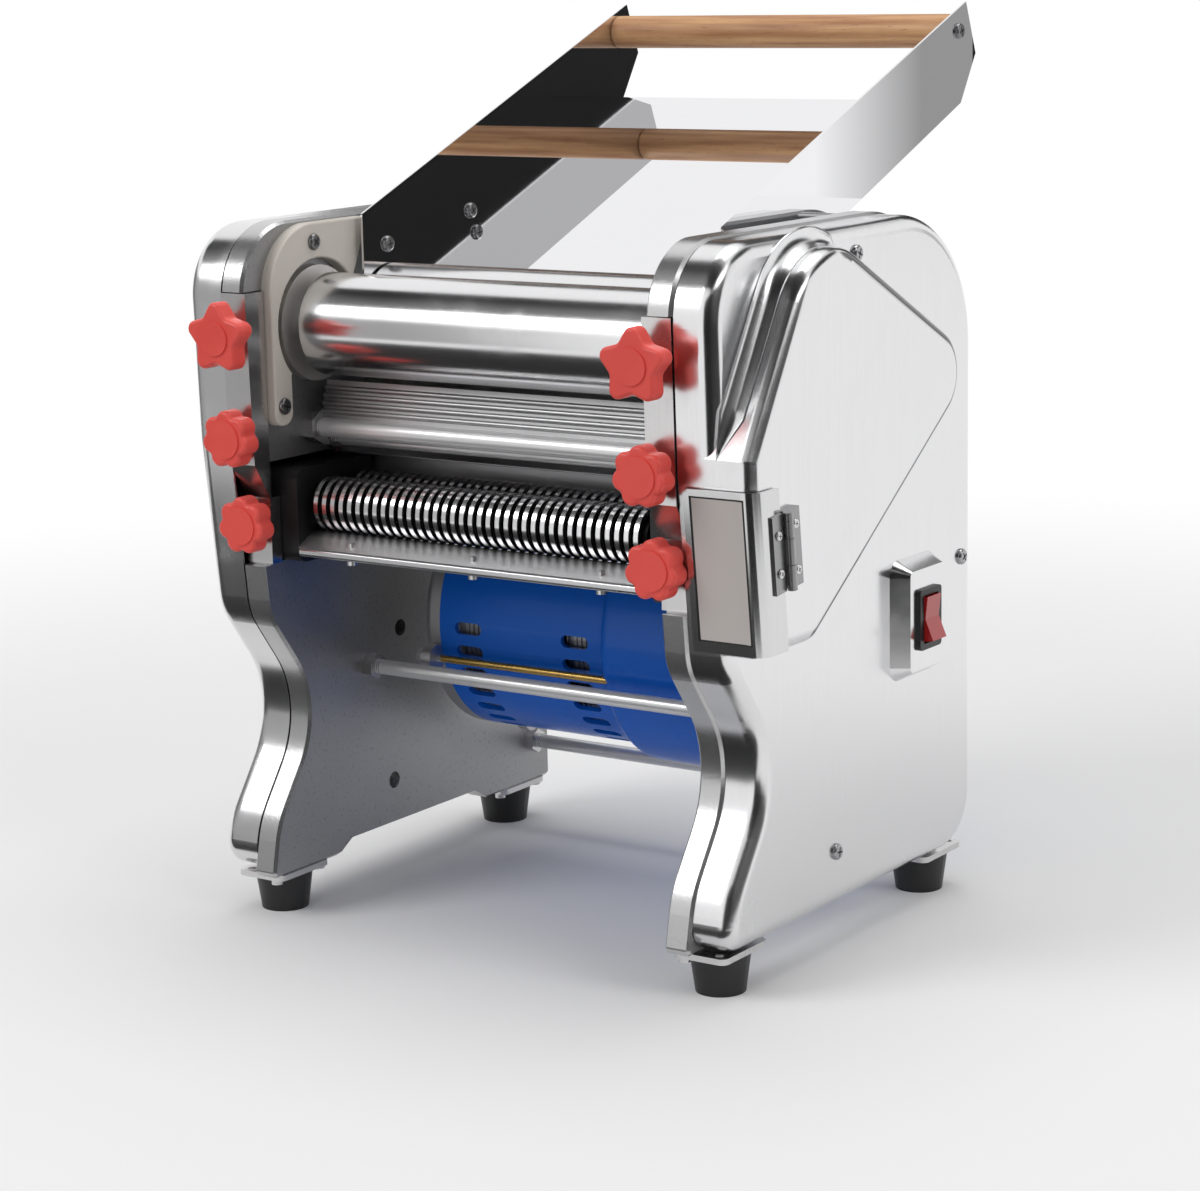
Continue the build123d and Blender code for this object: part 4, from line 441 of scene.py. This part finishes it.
def doorSheet():
    # bent steel sheet whose recessed panel carries a plain warm-grey film
    look = {
        "film": (0.53, 0.49, 0.47), "steel": (0.70, 0.70, 0.705), "seam": (0.02, 0.02, 0.02), "shade": 0.92,
        "steelRough": 0.14, "filmRough": 0.5, "lineDepth": 0.04,
        "front": -0.8,  # the normal's share along y, below which a face looks forward
    }
    rim = {"left": 3.2, "right": 6.2, "bottom": 5.0, "top": 3.2, "line": 0.9}  # mm, as the plate's rim
    material, tree, shader = newMaterial("doorSheet")
    grain = addGroup(tree, brushedLines, {"Stretch": (1.0, 1.0, 0.03), "Fine": 700.0, "Slow": 12.0})
    place = objectPlace(tree)
    low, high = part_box("door")
    ahead = mathNode(tree, "LESS_THAN", facing(tree, "Y"), look["front"])

    def inside(extra):
        left, right = low.x + (rim["left"] + extra) * mm, high.x - (rim["right"] + extra) * mm
        bottom, top = low.z + (rim["bottom"] + extra) * mm, high.z - (rim["top"] + extra) * mm
        across = between(tree, place["X"], left, right)
        along = between(tree, place["Z"], bottom, top)
        return mathNode(tree, "MULTIPLY", mathNode(tree, "MULTIPLY", across, along), ahead)

    panel, film = inside(0.0), inside(rim["line"])
    bare = shaded(tree, grain.outputs["Lines"], look["steel"], look["shade"])
    edged = mixColour(tree, panel, bare, look["seam"])
    plug(tree, shader.inputs["Base Color"], mixColour(tree, film, edged, look["film"]))
    plug(tree, shader.inputs["Metallic"], spread(tree, panel, 1.0, 0.0))
    plug(tree, shader.inputs["Roughness"], spread(tree, panel, look["steelRough"], look["filmRough"]))
    addBump(tree, shader, grain.outputs["Lines"], look["lineDepth"], relief["line"])
    return material


def beech():
    look = {
        "early": (0.64, 0.36, 0.165), "late": (0.38, 0.17, 0.07), "ringBand": (0.33, 0.66),
        "pore": (0.20, 0.08, 0.03), "poreBand": (0.62, 0.75), "poreShare": 0.7,
        "rough": (0.42, 0.55), "lineDepth": 0.15,
    }
    material, tree, shader = newMaterial("beechWood")
    grain = addGroup(tree, brushedLines, {"Stretch": (0.045, 1.0, 1.0), "Fine": 260.0, "Slow": 30.0})
    flecks = addGroup(tree, brushedLines, {"Stretch": (0.09, 1.0, 1.0), "Fine": 1500.0, "Slow": 60.0})
    rings = rampNode(tree, grain.outputs["Lines"], *look["ringBand"])
    pores = rampNode(tree, flecks.outputs["Lines"], *look["poreBand"], 0.0, look["poreShare"])
    wood = mixColour(tree, rings, look["late"], look["early"])
    plug(tree, shader.inputs["Base Color"], mixColour(tree, pores, wood, look["pore"]))
    cloudRough(tree, shader, grain, *look["rough"])
    addBump(tree, shader, grain.outputs["Lines"], look["lineDepth"], relief["grain"])
    return material


# ways the brush ran: small along the lines
upright, lengthwise = (1.0, 1.0, 0.05), (0.03, 1.0, 1.0)
turning, evenly = (1.0, 0.05, 0.05), (1.0, 1.0, 1.0)
mirrorSteel = steel("mirrorSteel", (0.86, 0.86, 0.875), 0.014, (0.02, 1.0, 1.0), lineDepth=0.0, shade=0.97)
rollerChrome = steel(
    "rollerChrome", (0.82, 0.82, 0.83), 0.19, turning, fine=1200.0, lineDepth=0.02, shade=0.95)
satinSteel = steel("satinSteel", (0.72, 0.72, 0.73), 0.28, upright, lineDepth=0.08)
barSteel = steel("barSteel", (0.70, 0.69, 0.69), 0.24, upright, lineDepth=0.1)
guideSteel = steel("guideSteel", (0.42, 0.42, 0.425), 0.34, lengthwise, fine=1500.0, lineDepth=0.04)
screwSteel = steel("screwSteel", (0.42, 0.42, 0.43), 0.28, evenly, lineDepth=0.05)
plateScrewSteel = steel("plateScrewSteel", (0.24, 0.24, 0.245), 0.3, evenly, lineDepth=0.05)
gearSteel = steel("gearSteel", (0.35, 0.35, 0.36), 0.4, evenly, lineDepth=0.1)
blockSteel = steel("blockSteel", (0.80, 0.78, 0.75), 0.5, evenly, lineDepth=0.1)
hingeSteel = steel("hingeSteel", (0.34, 0.34, 0.345), 0.26, upright)
bronze = steel("bushBronze", (0.55, 0.36, 0.16), 0.42, evenly)
guardNylon = moulded("guardNylon", (0.60, 0.555, 0.50), 0.42, size=350.0, depth=0.08)
motorBlue = moulded("motorBlue", (0.006, 0.135, 0.66), 0.3, size=220.0, depth=0.06, coat=0.12, gloss=0.3)
motorSilver = moulded("motorSilver", (0.60, 0.60, 0.61), 0.4, metallic=0.9)
footRubber = moulded("footRubber", (0.012, 0.012, 0.013), 0.42, size=400.0, depth=0.2)
beltRubber = moulded("beltRubber", (0.02, 0.02, 0.02), 0.6, size=900.0, depth=0.4)
blackPlastic = moulded("blackPlastic", (0.012, 0.012, 0.013), 0.38, size=600.0, depth=0.15)
rockerRed = moulded("rockerRed", (0.42, 0.012, 0.012), 0.14, size=300.0, depth=0.03, coat=0.5)
# near-black finish for the screws' cross recesses: painted shade
paintedRecessShade = moulded("paintedRecessShade", (0.02, 0.02, 0.02), 0.6, size=900.0)
frameMetal, cutterMetal, knobRed, rodMetal = frameCasting(), cutterSteel(), knobMoulding(), rodSteel()
coverMetal, combMetal = coverSheet(), combSteel()
boltMetal, doorMetal, beechWood = boltZinc(), doorSheet(), beech()

finishes = {
    coverMetal: ["left_cover", "right_cover"],
    mirrorSteel: ["chute_pan", "left_chute_side", "right_chute_side"],
    guideSteel: ["front_guide", "rear_guide"],
    rollerChrome: ["front_roller", "rear_roller"],
    cutterMetal: ["front_cutter", "rear_cutter"],
    satinSteel: ["comb_bars", "comb_screws"],
    hingeSteel: ["hinge_leaf", "door_leaf"],
    combMetal: ["combs"],
    screwSteel: ["cover_screws"],
    plateScrewSteel: ["plate_screws"],
    barSteel: [
        "left_front_bar", "right_front_bar", "clamp_blocks", "rod_nuts", "foot_brackets", "foot_screws",
        "stub_axles", "motor_shaft",
    ],
    rodMetal: ["tie_rods"],
    gearSteel: [
        "front_sync_gear", "rear_sync_gear", "roller_gear", "idler_gear", "pinion", "front_cutter_gear",
        "rear_cutter_gear",
    ],
    blockSteel: ["bearing_blocks"],
    frameMetal: ["left_frame", "right_frame"],
    guardNylon: ["left_guard", "right_guard"],
    knobRed: [
        "left_star_knob", "right_star_knob", "left_mid_knob", "right_mid_knob", "left_low_knob",
        "right_low_knob",
    ],
    motorBlue: ["motor_can", "motor_gearcase"],
    motorSilver: ["motor_end_bell", "large_pulley", "motor_pulley"],
    boltMetal: ["motor_bolts"],
    bronze: ["rear_bushes"],
    footRubber: ["feet"],
    beltRubber: ["drive_belt"],
    blackPlastic: ["left_cassette_end", "right_cassette_end", "switch_housing"],
    rockerRed: ["rocker"],
    doorMetal: ["door"],
    beechWood: ["carry_bar"],
}
for finish, names in finishes.items():
    for name in names:
        nodes[name].data.materials.clear()
        nodes[name].data.materials.append(finish)
print("finishes given:", sum(len(names) for names in finishes.values()), "nodes")


def finishPiece(name, shape, finish, body, smooth=True):
    mesh = bpy.data.meshes.new(name)
    bmesh.ops.recalc_face_normals(shape, faces=shape.faces)
    shape.to_mesh(mesh)
    shape.free()
    for face in mesh.polygons:
        face.use_smooth = smooth
    mesh.materials.append(finish)
    piece = bpy.data.objects.new(name, mesh)
    bpy.context.scene.collection.objects.link(piece)
    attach(piece, body)


def screwHeads(nodeName):
    # each screw of a node: middle of its head, the way it faces, and the head's radius
    shape = bmesh.new()
    shape.from_mesh(nodes[nodeName].data)
    bmesh.ops.remove_doubles(shape, verts=shape.verts, dist=mergeDistance)
    heads, seen = [], set()
    for start in shape.verts:
        if start in seen:
            continue
        seen.add(start)
        island, waiting = [], [start]
        while waiting:
            vert = waiting.pop()
            island.append(vert.co.copy())
            for edge in vert.link_edges:
                other = edge.other_vert(vert)
                if other not in seen:
                    seen.add(other)
                    waiting.append(other)
        spans = [(min(co[i] for co in island), max(co[i] for co in island)) for i in range(3)]
        sizes = [high - low for low, high in spans]
        axis = min(range(3), key=lambda i: abs(sizes[(i + 1) % 3] - sizes[(i + 2) % 3]))
        centre = Vector([(low + high) / 2 for low, high in spans])
        widest = max(island, key=lambda co: sum((co[i] - centre[i]) ** 2 for i in range(3) if i != axis))
        sign = 1 if widest[axis] > centre[axis] else -1
        way = Vector([sign if i == axis else 0 for i in range(3)])
        centre[axis] = spans[axis][1] if sign > 0 else spans[axis][0]
        heads.append((centre, way, sizes[(axis + 1) % 3] / 2))
    shape.free()
    return heads


cross = {
    "lengthShare": 1.16, "widthShare": 0.21,  # of the head's radius
    "sink": 0.25, "proud": 0.04,  # mm
    "firstTurn": 0.35, "turnStep": 1.1,  # radians, so that no two screws stop alike
}


def addCross(shape, centre, way, radius, turn):
    depth = (cross["sink"] + cross["proud"]) * mm
    size = (radius * cross["lengthShare"], radius * cross["widthShare"], depth)
    stand = way.to_track_quat("Z", "Y").to_matrix().to_4x4()
    for half in (0, 1):
        arm = bmesh.ops.create_cube(shape, size=1.0)["verts"]
        bmesh.ops.scale(shape, verts=arm, vec=size)
        bmesh.ops.translate(shape, verts=arm, vec=(0, 0, (cross["proud"] - cross["sink"]) / 2 * mm))
        spin = Matrix.Rotation(turn + half * math.pi / 2, 4, "Z")
        bmesh.ops.transform(shape, verts=arm, matrix=Matrix.Translation(centre) @ stand @ spin)


def makeCrosses(nodeName, pieceName):
    shape = bmesh.new()
    heads = screwHeads(nodeName)
    for index, (centre, way, radius) in enumerate(heads):
        addCross(shape, centre, way, radius, cross["firstTurn"] + cross["turnStep"] * index)
    # each cross recess is a near-black solid, painted shade
    finishPiece(pieceName, shape, paintedRecessShade, "machine_frame", smooth=False)
    print(pieceName, len(heads), "screw heads")


makeCrosses("cover_screws", "coverScrewCrosses")
makeCrosses("plate_screws", "plateScrewCrosses")


def makeStator():
    # laminated core behind the motor's slots
    core = {
        "place": (40.0, 142.0), "from": -74.0, "to": 12.0, "radius": 59.5, "bore": 9.0, "spinSteps": 72,
        "step": 3.0, "crest": 0.7, "dip": 0.85, "groove": 0.5,  # crest and dip are shares of a step
    }
    centreY, centreZ = core["place"]
    profile = (
        (0.0, core["radius"]),
        (core["step"] * core["crest"], core["radius"]),
        (core["step"] * core["dip"], core["radius"] - core["groove"]),
    )
    shape = bmesh.new()
    count = int((core["to"] - core["from"]) / core["step"])
    line = [shape.verts.new(spot(core["from"], centreY, centreZ + core["bore"]))]
    for index in range(count + 1):
        x = core["from"] + index * core["step"]
        for shift, radius in profile:
            if x + shift <= core["to"]:
                line.append(shape.verts.new(spot(x + shift, centreY, centreZ + radius)))
    line.append(shape.verts.new(spot(core["to"], centreY, centreZ + core["bore"])))
    edges = [shape.edges.new(pair) for pair in zip(line, line[1:])]
    bmesh.ops.spin(
        shape, geom=line + edges, cent=spot(0, centreY, centreZ), axis=(1, 0, 0), angle=2 * math.pi,
        steps=core["spinSteps"], use_merge=True)
    bmesh.ops.remove_doubles(shape, verts=shape.verts, dist=mergeDistance)
    finishPiece("statorCore", shape, gearSteel, "machine_frame", smooth=False)


makeStator()


def makeHingeScrews():
    # two pan heads in each leaf
    hinge = {
        "head": 2.3, "rise": 1.1, "round": 0.7, "sides": 24, "roundSteps": 4, "leafFace": -1.2,
        "fixed": ((7.5, -11.0), (7.5, 11.0)), "swung": ((-7.5, -9.0), (-7.5, 9.0)),
        "crossShare": 0.9, "firstTurn": 0.5, "turnStep": 0.9,
    }
    joint = joints["door_swing"]
    foot, up, outward = Vector(joint["pos_m"]), Vector(joint["axis"]), Vector((1, 0, 0))
    back = outward.cross(up) * -1
    radius, rise = hinge["head"] * mm, hinge["rise"] * mm
    stand = outward.to_track_quat("Z", "Y").to_matrix().to_4x4()
    lift = Matrix.Translation(Vector((0, 0, rise / 2)))

    def seat(across, along, height):
        return foot + back * across * mm + up * along * mm + outward * (height * mm)

    leaves = {
        "hingeScrewsFixed": ("machine_frame", hinge["fixed"]),
        "hingeScrewsSwung": ("door", hinge["swung"]),
    }
    for label, (body, places) in leaves.items():
        shape, marks = bmesh.new(), bmesh.new()
        for index, (across, along) in enumerate(places):
            disc = bmesh.ops.create_cone(
                shape, cap_ends=True, segments=hinge["sides"], radius1=radius, radius2=radius, depth=rise)
            head = disc["verts"]
            edges = {edge for vert in head for edge in vert.link_edges}
            rim = [edge for edge in edges if all(vert.co.z > 0 for vert in edge.verts)]
            rounded = bmesh.ops.bevel(
                shape, geom=rim, offset=hinge["round"] * mm, offset_type="OFFSET",
                segments=hinge["roundSteps"], profile=0.5, affect="EDGES", material=-1)
            whole = list({vert for vert in head if vert.is_valid} | set(rounded["verts"]))
            place = Matrix.Translation(seat(across, along, hinge["leafFace"]))
            bmesh.ops.transform(shape, verts=whole, matrix=place @ stand @ lift)
            top = seat(across, along, hinge["leafFace"] + hinge["rise"])
            turn = hinge["firstTurn"] + hinge["turnStep"] * index
            addCross(marks, top, outward, radius * hinge["crossShare"], turn)
        finishPiece(label, shape, satinSteel, body)
        # each cross recess is a near-black solid, painted shade
        finishPiece(label + "Crosses", marks, paintedRecessShade, body, smooth=False)


makeHingeScrews()


def makeValley():
    # pressed hollow where the drive bulge rises from the cover's face
    valley = {
        "face": 155.5, "radius": 9.0, "rearRadius": 4.0, "leastRadius": 0.5, "sink": 0.4,
        "steps": 10, "fadeSteps": 4,
        "slope": 16, "crown": 20, "top": 14, "nose": 18, "back": 18,  # stations along the bulge's outline
    }
    # circles of the bulge's outline: their middles and radii in mm
    brow, crown = ((-128.4, 263.0), 0.001), ((-48.5, 309.0), 44.0)
    nose, heel = ((48.3, 280.9), 24.0), ((-76.3, 184.0), 14.0)

    def onCircle(circle, angle):
        (y, z), radius = circle
        return y + radius * math.cos(angle), z + radius * math.sin(angle), angle

    def tangent(a, b):
        # outer touching line of two circles, run clockwise as seen from the right side
        (ay, az), ra = a
        (by, bz), rb = b
        lean = math.atan2(bz - az, by - ay)
        off = lean + math.acos((ra - rb) / math.hypot(by - ay, bz - az))
        return onCircle(a, off), onCircle(b, off)

    def arc(circle, first, last, count):
        return [onCircle(circle, first + (last - first) * i / count) for i in range(count + 1)]

    def run(a, b, count):
        shares = [i / count for i in range(1, count)]
        return [(a[0] + (b[0] - a[0]) * share, a[1] + (b[1] - a[1]) * share, a[2]) for share in shares]

    upFoot, upHead = tangent(brow, crown)
    crownEnd, noseStart = tangent(crown, nose)
    noseEnd, heelStart = tangent(nose, heel)
    front = [upFoot] + run(upFoot, upHead, valley["slope"])
    front += arc(crown, upHead[2], crownEnd[2], valley["crown"])
    rear = run(crownEnd, noseStart, valley["top"]) + arc(nose, noseStart[2], noseEnd[2], valley["nose"])
    rear += run(noseEnd, heelStart, valley["back"]) + [heelStart]
    path = front + rear
    total = len(path) - 1

    shape = bmesh.new()
    rows = [[] for _ in range(valley["steps"] + 2)]
    face, sink = valley["face"], valley["sink"]
    for index, (y, z, heading) in enumerate(path):
        radius = valley["radius"] if index < len(front) else valley["rearRadius"]
        fade = min(1.0, index / valley["fadeSteps"], (total - index) / valley["fadeSteps"])
        radius = max(valley["leastRadius"], radius * fade)
        awayY, awayZ = math.cos(heading), math.sin(heading)
        for step in range(valley["steps"] + 1):
            turn = math.pi / 2 * step / valley["steps"]
            out, rise = radius * (1 - math.sin(turn)), radius * (1 - math.cos(turn))
            rows[step].append(shape.verts.new(spot(face + rise, y + awayY * out, z + awayZ * out)))
        rows[-1].append(shape.verts.new(spot(face - sink, y - awayY * sink, z - awayZ * sink)))
    loops = [[shape.edges.new(pair) for pair in zip(row, row[1:])] for row in rows]
    for first, second in zip(loops, loops[1:] + loops[:1]):
        bmesh.ops.bridge_loops(shape, edges=first + second)
    bmesh.ops.holes_fill(shape, edges=[edge for edge in shape.edges if edge.is_boundary], sides=0)
    finishPiece("bulgeValley", shape, coverMetal, "machine_frame")


makeValley()
print("pieces made")

stage = {
    "floorSize": 60.0, "floorTone": 0.84, "floorRough": 0.9, "worldFill": 0.52,
    "fadeFrom": (0.4, 0.25), "fadeTo": (1.3, 0.75),  # as seen, as mirrored
}


def makeFloor():
    mesh = bpy.data.meshes.new("floor")
    shape = bmesh.new()
    bmesh.ops.create_grid(shape, x_segments=1, y_segments=1, size=stage["floorSize"] / 2)
    shape.to_mesh(mesh)
    shape.free()
    floor = bpy.data.objects.new("floor", mesh)
    bpy.context.scene.collection.objects.link(floor)
    material, tree, shader = newMaterial("floorPale")
    length = tree.nodes.new("ShaderNodeVectorMath")
    length.operation = "LENGTH"
    plug(tree, length.inputs[0], tree.nodes.new("ShaderNodeTexCoord").outputs["Object"])
    paths = tree.nodes.new("ShaderNodeLightPath")
    mirrored = paths.outputs["Is Glossy Ray"]
    fade = tree.nodes.new("ShaderNodeMapRange")
    fade.interpolation_type = "SMOOTHSTEP"
    plug(tree, fade.inputs[0], length.outputs["Value"])
    plug(tree, fade.inputs[1], spread(tree, mirrored, *stage["fadeFrom"]))
    plug(tree, fade.inputs[2], spread(tree, mirrored, *stage["fadeTo"]))
    away = fade.outputs[0]
    pale = (stage["floorTone"],) * 3
    seen = mathNode(tree, "MAXIMUM", paths.outputs["Is Camera Ray"], mirrored)
    plug(tree, shader.inputs["Base Color"], mixColour(tree, away, pale, black))
    plug(tree, shader.inputs["Emission Color"], mixColour(tree, away, black, white))
    plug(tree, shader.inputs["Emission Strength"], seen)
    shader.inputs["Roughness"].default_value = stage["floorRough"]
    shader.inputs["Specular IOR Level"].default_value = 0.0
    mesh.materials.append(material)


makeFloor()


def makeWorld():
    world = bpy.data.worlds.new("studio")
    bpy.context.scene.world = world
    world.use_nodes = True
    tree = world.node_tree
    paths = tree.nodes.new("ShaderNodeLightPath")
    seen = mathNode(tree, "MAXIMUM", paths.outputs["Is Camera Ray"], paths.outputs["Is Glossy Ray"])
    seen = mathNode(tree, "MAXIMUM", seen, paths.outputs["Is Transmission Ray"])
    background = tree.nodes["Background"]
    plug(tree, background.inputs["Strength"], spread(tree, seen, stage["worldFill"], 1.0))
    plug(tree, background.inputs["Color"], white)


makeWorld()

lamps = {
    "keyBox": {"place": (-1.1, -1.6, 1.7), "size": (1.2, 1.2), "power": 20},
    "sideBox": {"place": (1.9, -0.2, 1.2), "size": (1.0, 1.4), "power": 10},
    "topBox": {"place": (0.0, 0.5, 2.2), "size": (1.6, 1.2), "power": 14},
}
lampAim = Vector((0, 0, 0.2))
for name, lamp in lamps.items():
    data = bpy.data.lights.new(name, "AREA")
    data.shape = "RECTANGLE"
    data.size, data.size_y = lamp["size"]
    data.energy = lamp["power"]
    softbox = bpy.data.objects.new(name, data)
    softbox.location = lamp["place"]
    softbox.rotation_euler = (lampAim - Vector(lamp["place"])).to_track_quat("-Z", "Y").to_euler()
    bpy.context.scene.collection.objects.link(softbox)

# studio cards that only the polished metal sees; corners in mm from the machine's middle
cards = {
    "backCard": [(-1000, 1000, 460), (120, 1000, 460), (120, 1000, 1250), (-1000, 1000, 1250)],
    "crownCard": [(120, 1000, 960), (660, 1000, 960), (660, 1000, 1250), (120, 1000, 1250)],
    "doorCard": [(230, -560, 2), (560, -400, 2), (560, -400, 420), (230, -560, 420)],
    "chuteCard": [(744, 200, 1000), (1150, 200, 1000), (1150, 1050, 1000), (241, 1050, 1000)],
    "gapCard": [(-90, 300, 400), (158, 300, 400), (158, 300, 490), (-90, 300, 490)],
    "topCard": [(-1100, -750, 1000), (760, -750, 1000), (760, -20, 1000), (-1100, -20, 1000)],
    "sideCard": [(330, -1150, 0), (1080, -80, 0), (1080, -80, 900), (330, -1150, 900)],
    "farSideCard": [(1080, -80, 0), (1130, 300, 0), (1130, 300, 900), (1080, -80, 900)],
    "lowCard": [(-900, -620, 20), (250, -620, 20), (250, -135, 20), (-900, -135, 20)],
}
paleCards = {
    "leftCard": [(-620, -1000, 0), (-1150, -420, 0), (-1150, -420, 620), (-620, -1000, 620)],
    "farLeftCard": [(-1150, -420, 0), (-1250, 320, 0), (-1250, 320, 620), (-1150, -420, 620)],
    "stripCard": [(590, 200, 1000), (742, 200, 1000), (239, 1050, 1000), (87, 1050, 1000)],
    "fadeCard": [(440, 950, 285), (760, 950, 285), (760, 950, 455), (440, 950, 455)],
}
cardGlow = {  # glow at both ends of the fade, whose ends are in mm along x
    "leftCard": (0.36, 0.36), "farLeftCard": (0.2, 0.2), "stripCard": (0.55, 0.55), "fadeCard": (0.32, 1.0),
    "from": 545.0, "to": 645.0,
}
cardFace = {"tint": (0.01, 0.01, 0.01), "rough": 0.9}


def cardMaterial(name):
    material, tree, shader = newMaterial(name + "Face")
    plug(tree, shader.inputs["Base Color"], cardFace["tint"])
    shader.inputs["Roughness"].default_value = cardFace["rough"]
    if name in paleCards:
        ends = (spot(cardGlow["from"], 0, 0).x, spot(cardGlow["to"], 0, 0).x)
        glow = rampNode(tree, objectPlace(tree)["X"], *ends, *cardGlow[name])
        plug(tree, shader.inputs["Emission Color"], mixColour(tree, glow, black, white))
        shader.inputs["Emission Strength"].default_value = 1.0
    return material


for name, corners in {**cards, **paleCards}.items():
    shape = bmesh.new()
    shape.faces.new([shape.verts.new(spot(*corner)) for corner in corners])
    mesh = bpy.data.meshes.new(name)
    shape.to_mesh(mesh)
    shape.free()
    mesh.materials.append(cardMaterial(name))
    card = bpy.data.objects.new(name, mesh)
    bpy.context.scene.collection.objects.link(card)
    card.visible_camera = card.visible_diffuse = card.visible_shadow = card.visible_transmission = False

# camera at the photograph's angle; lens and sensor in mm, turns in degrees
view = {
    "lens": 94.925, "sensor": 36.0, "clipEnd": 100.0,
    "yaw": 34.514, "pitch": 11.574, "roll": -1.211, "place": (912.98, -1324.74, 491.42),
}
cameraData = bpy.data.cameras.new("camera")
cameraData.sensor_width = view["sensor"]
cameraData.lens = view["lens"]
cameraData.clip_end = view["clipEnd"]
camera = bpy.data.objects.new("camera", cameraData)
bpy.context.scene.collection.objects.link(camera)
camera.matrix_world = (
    Matrix.Translation(spot(*view["place"]))
    @ Matrix.Rotation(math.radians(view["yaw"]), 4, "Z")
    @ Matrix.Rotation(math.radians(90 - view["pitch"]), 4, "X")
    @ Matrix.Rotation(math.radians(view["roll"]), 4, "Z")
)
bpy.context.scene.camera = camera
bpy.context.scene.view_settings.view_transform = "Standard"
print("stage and camera set")
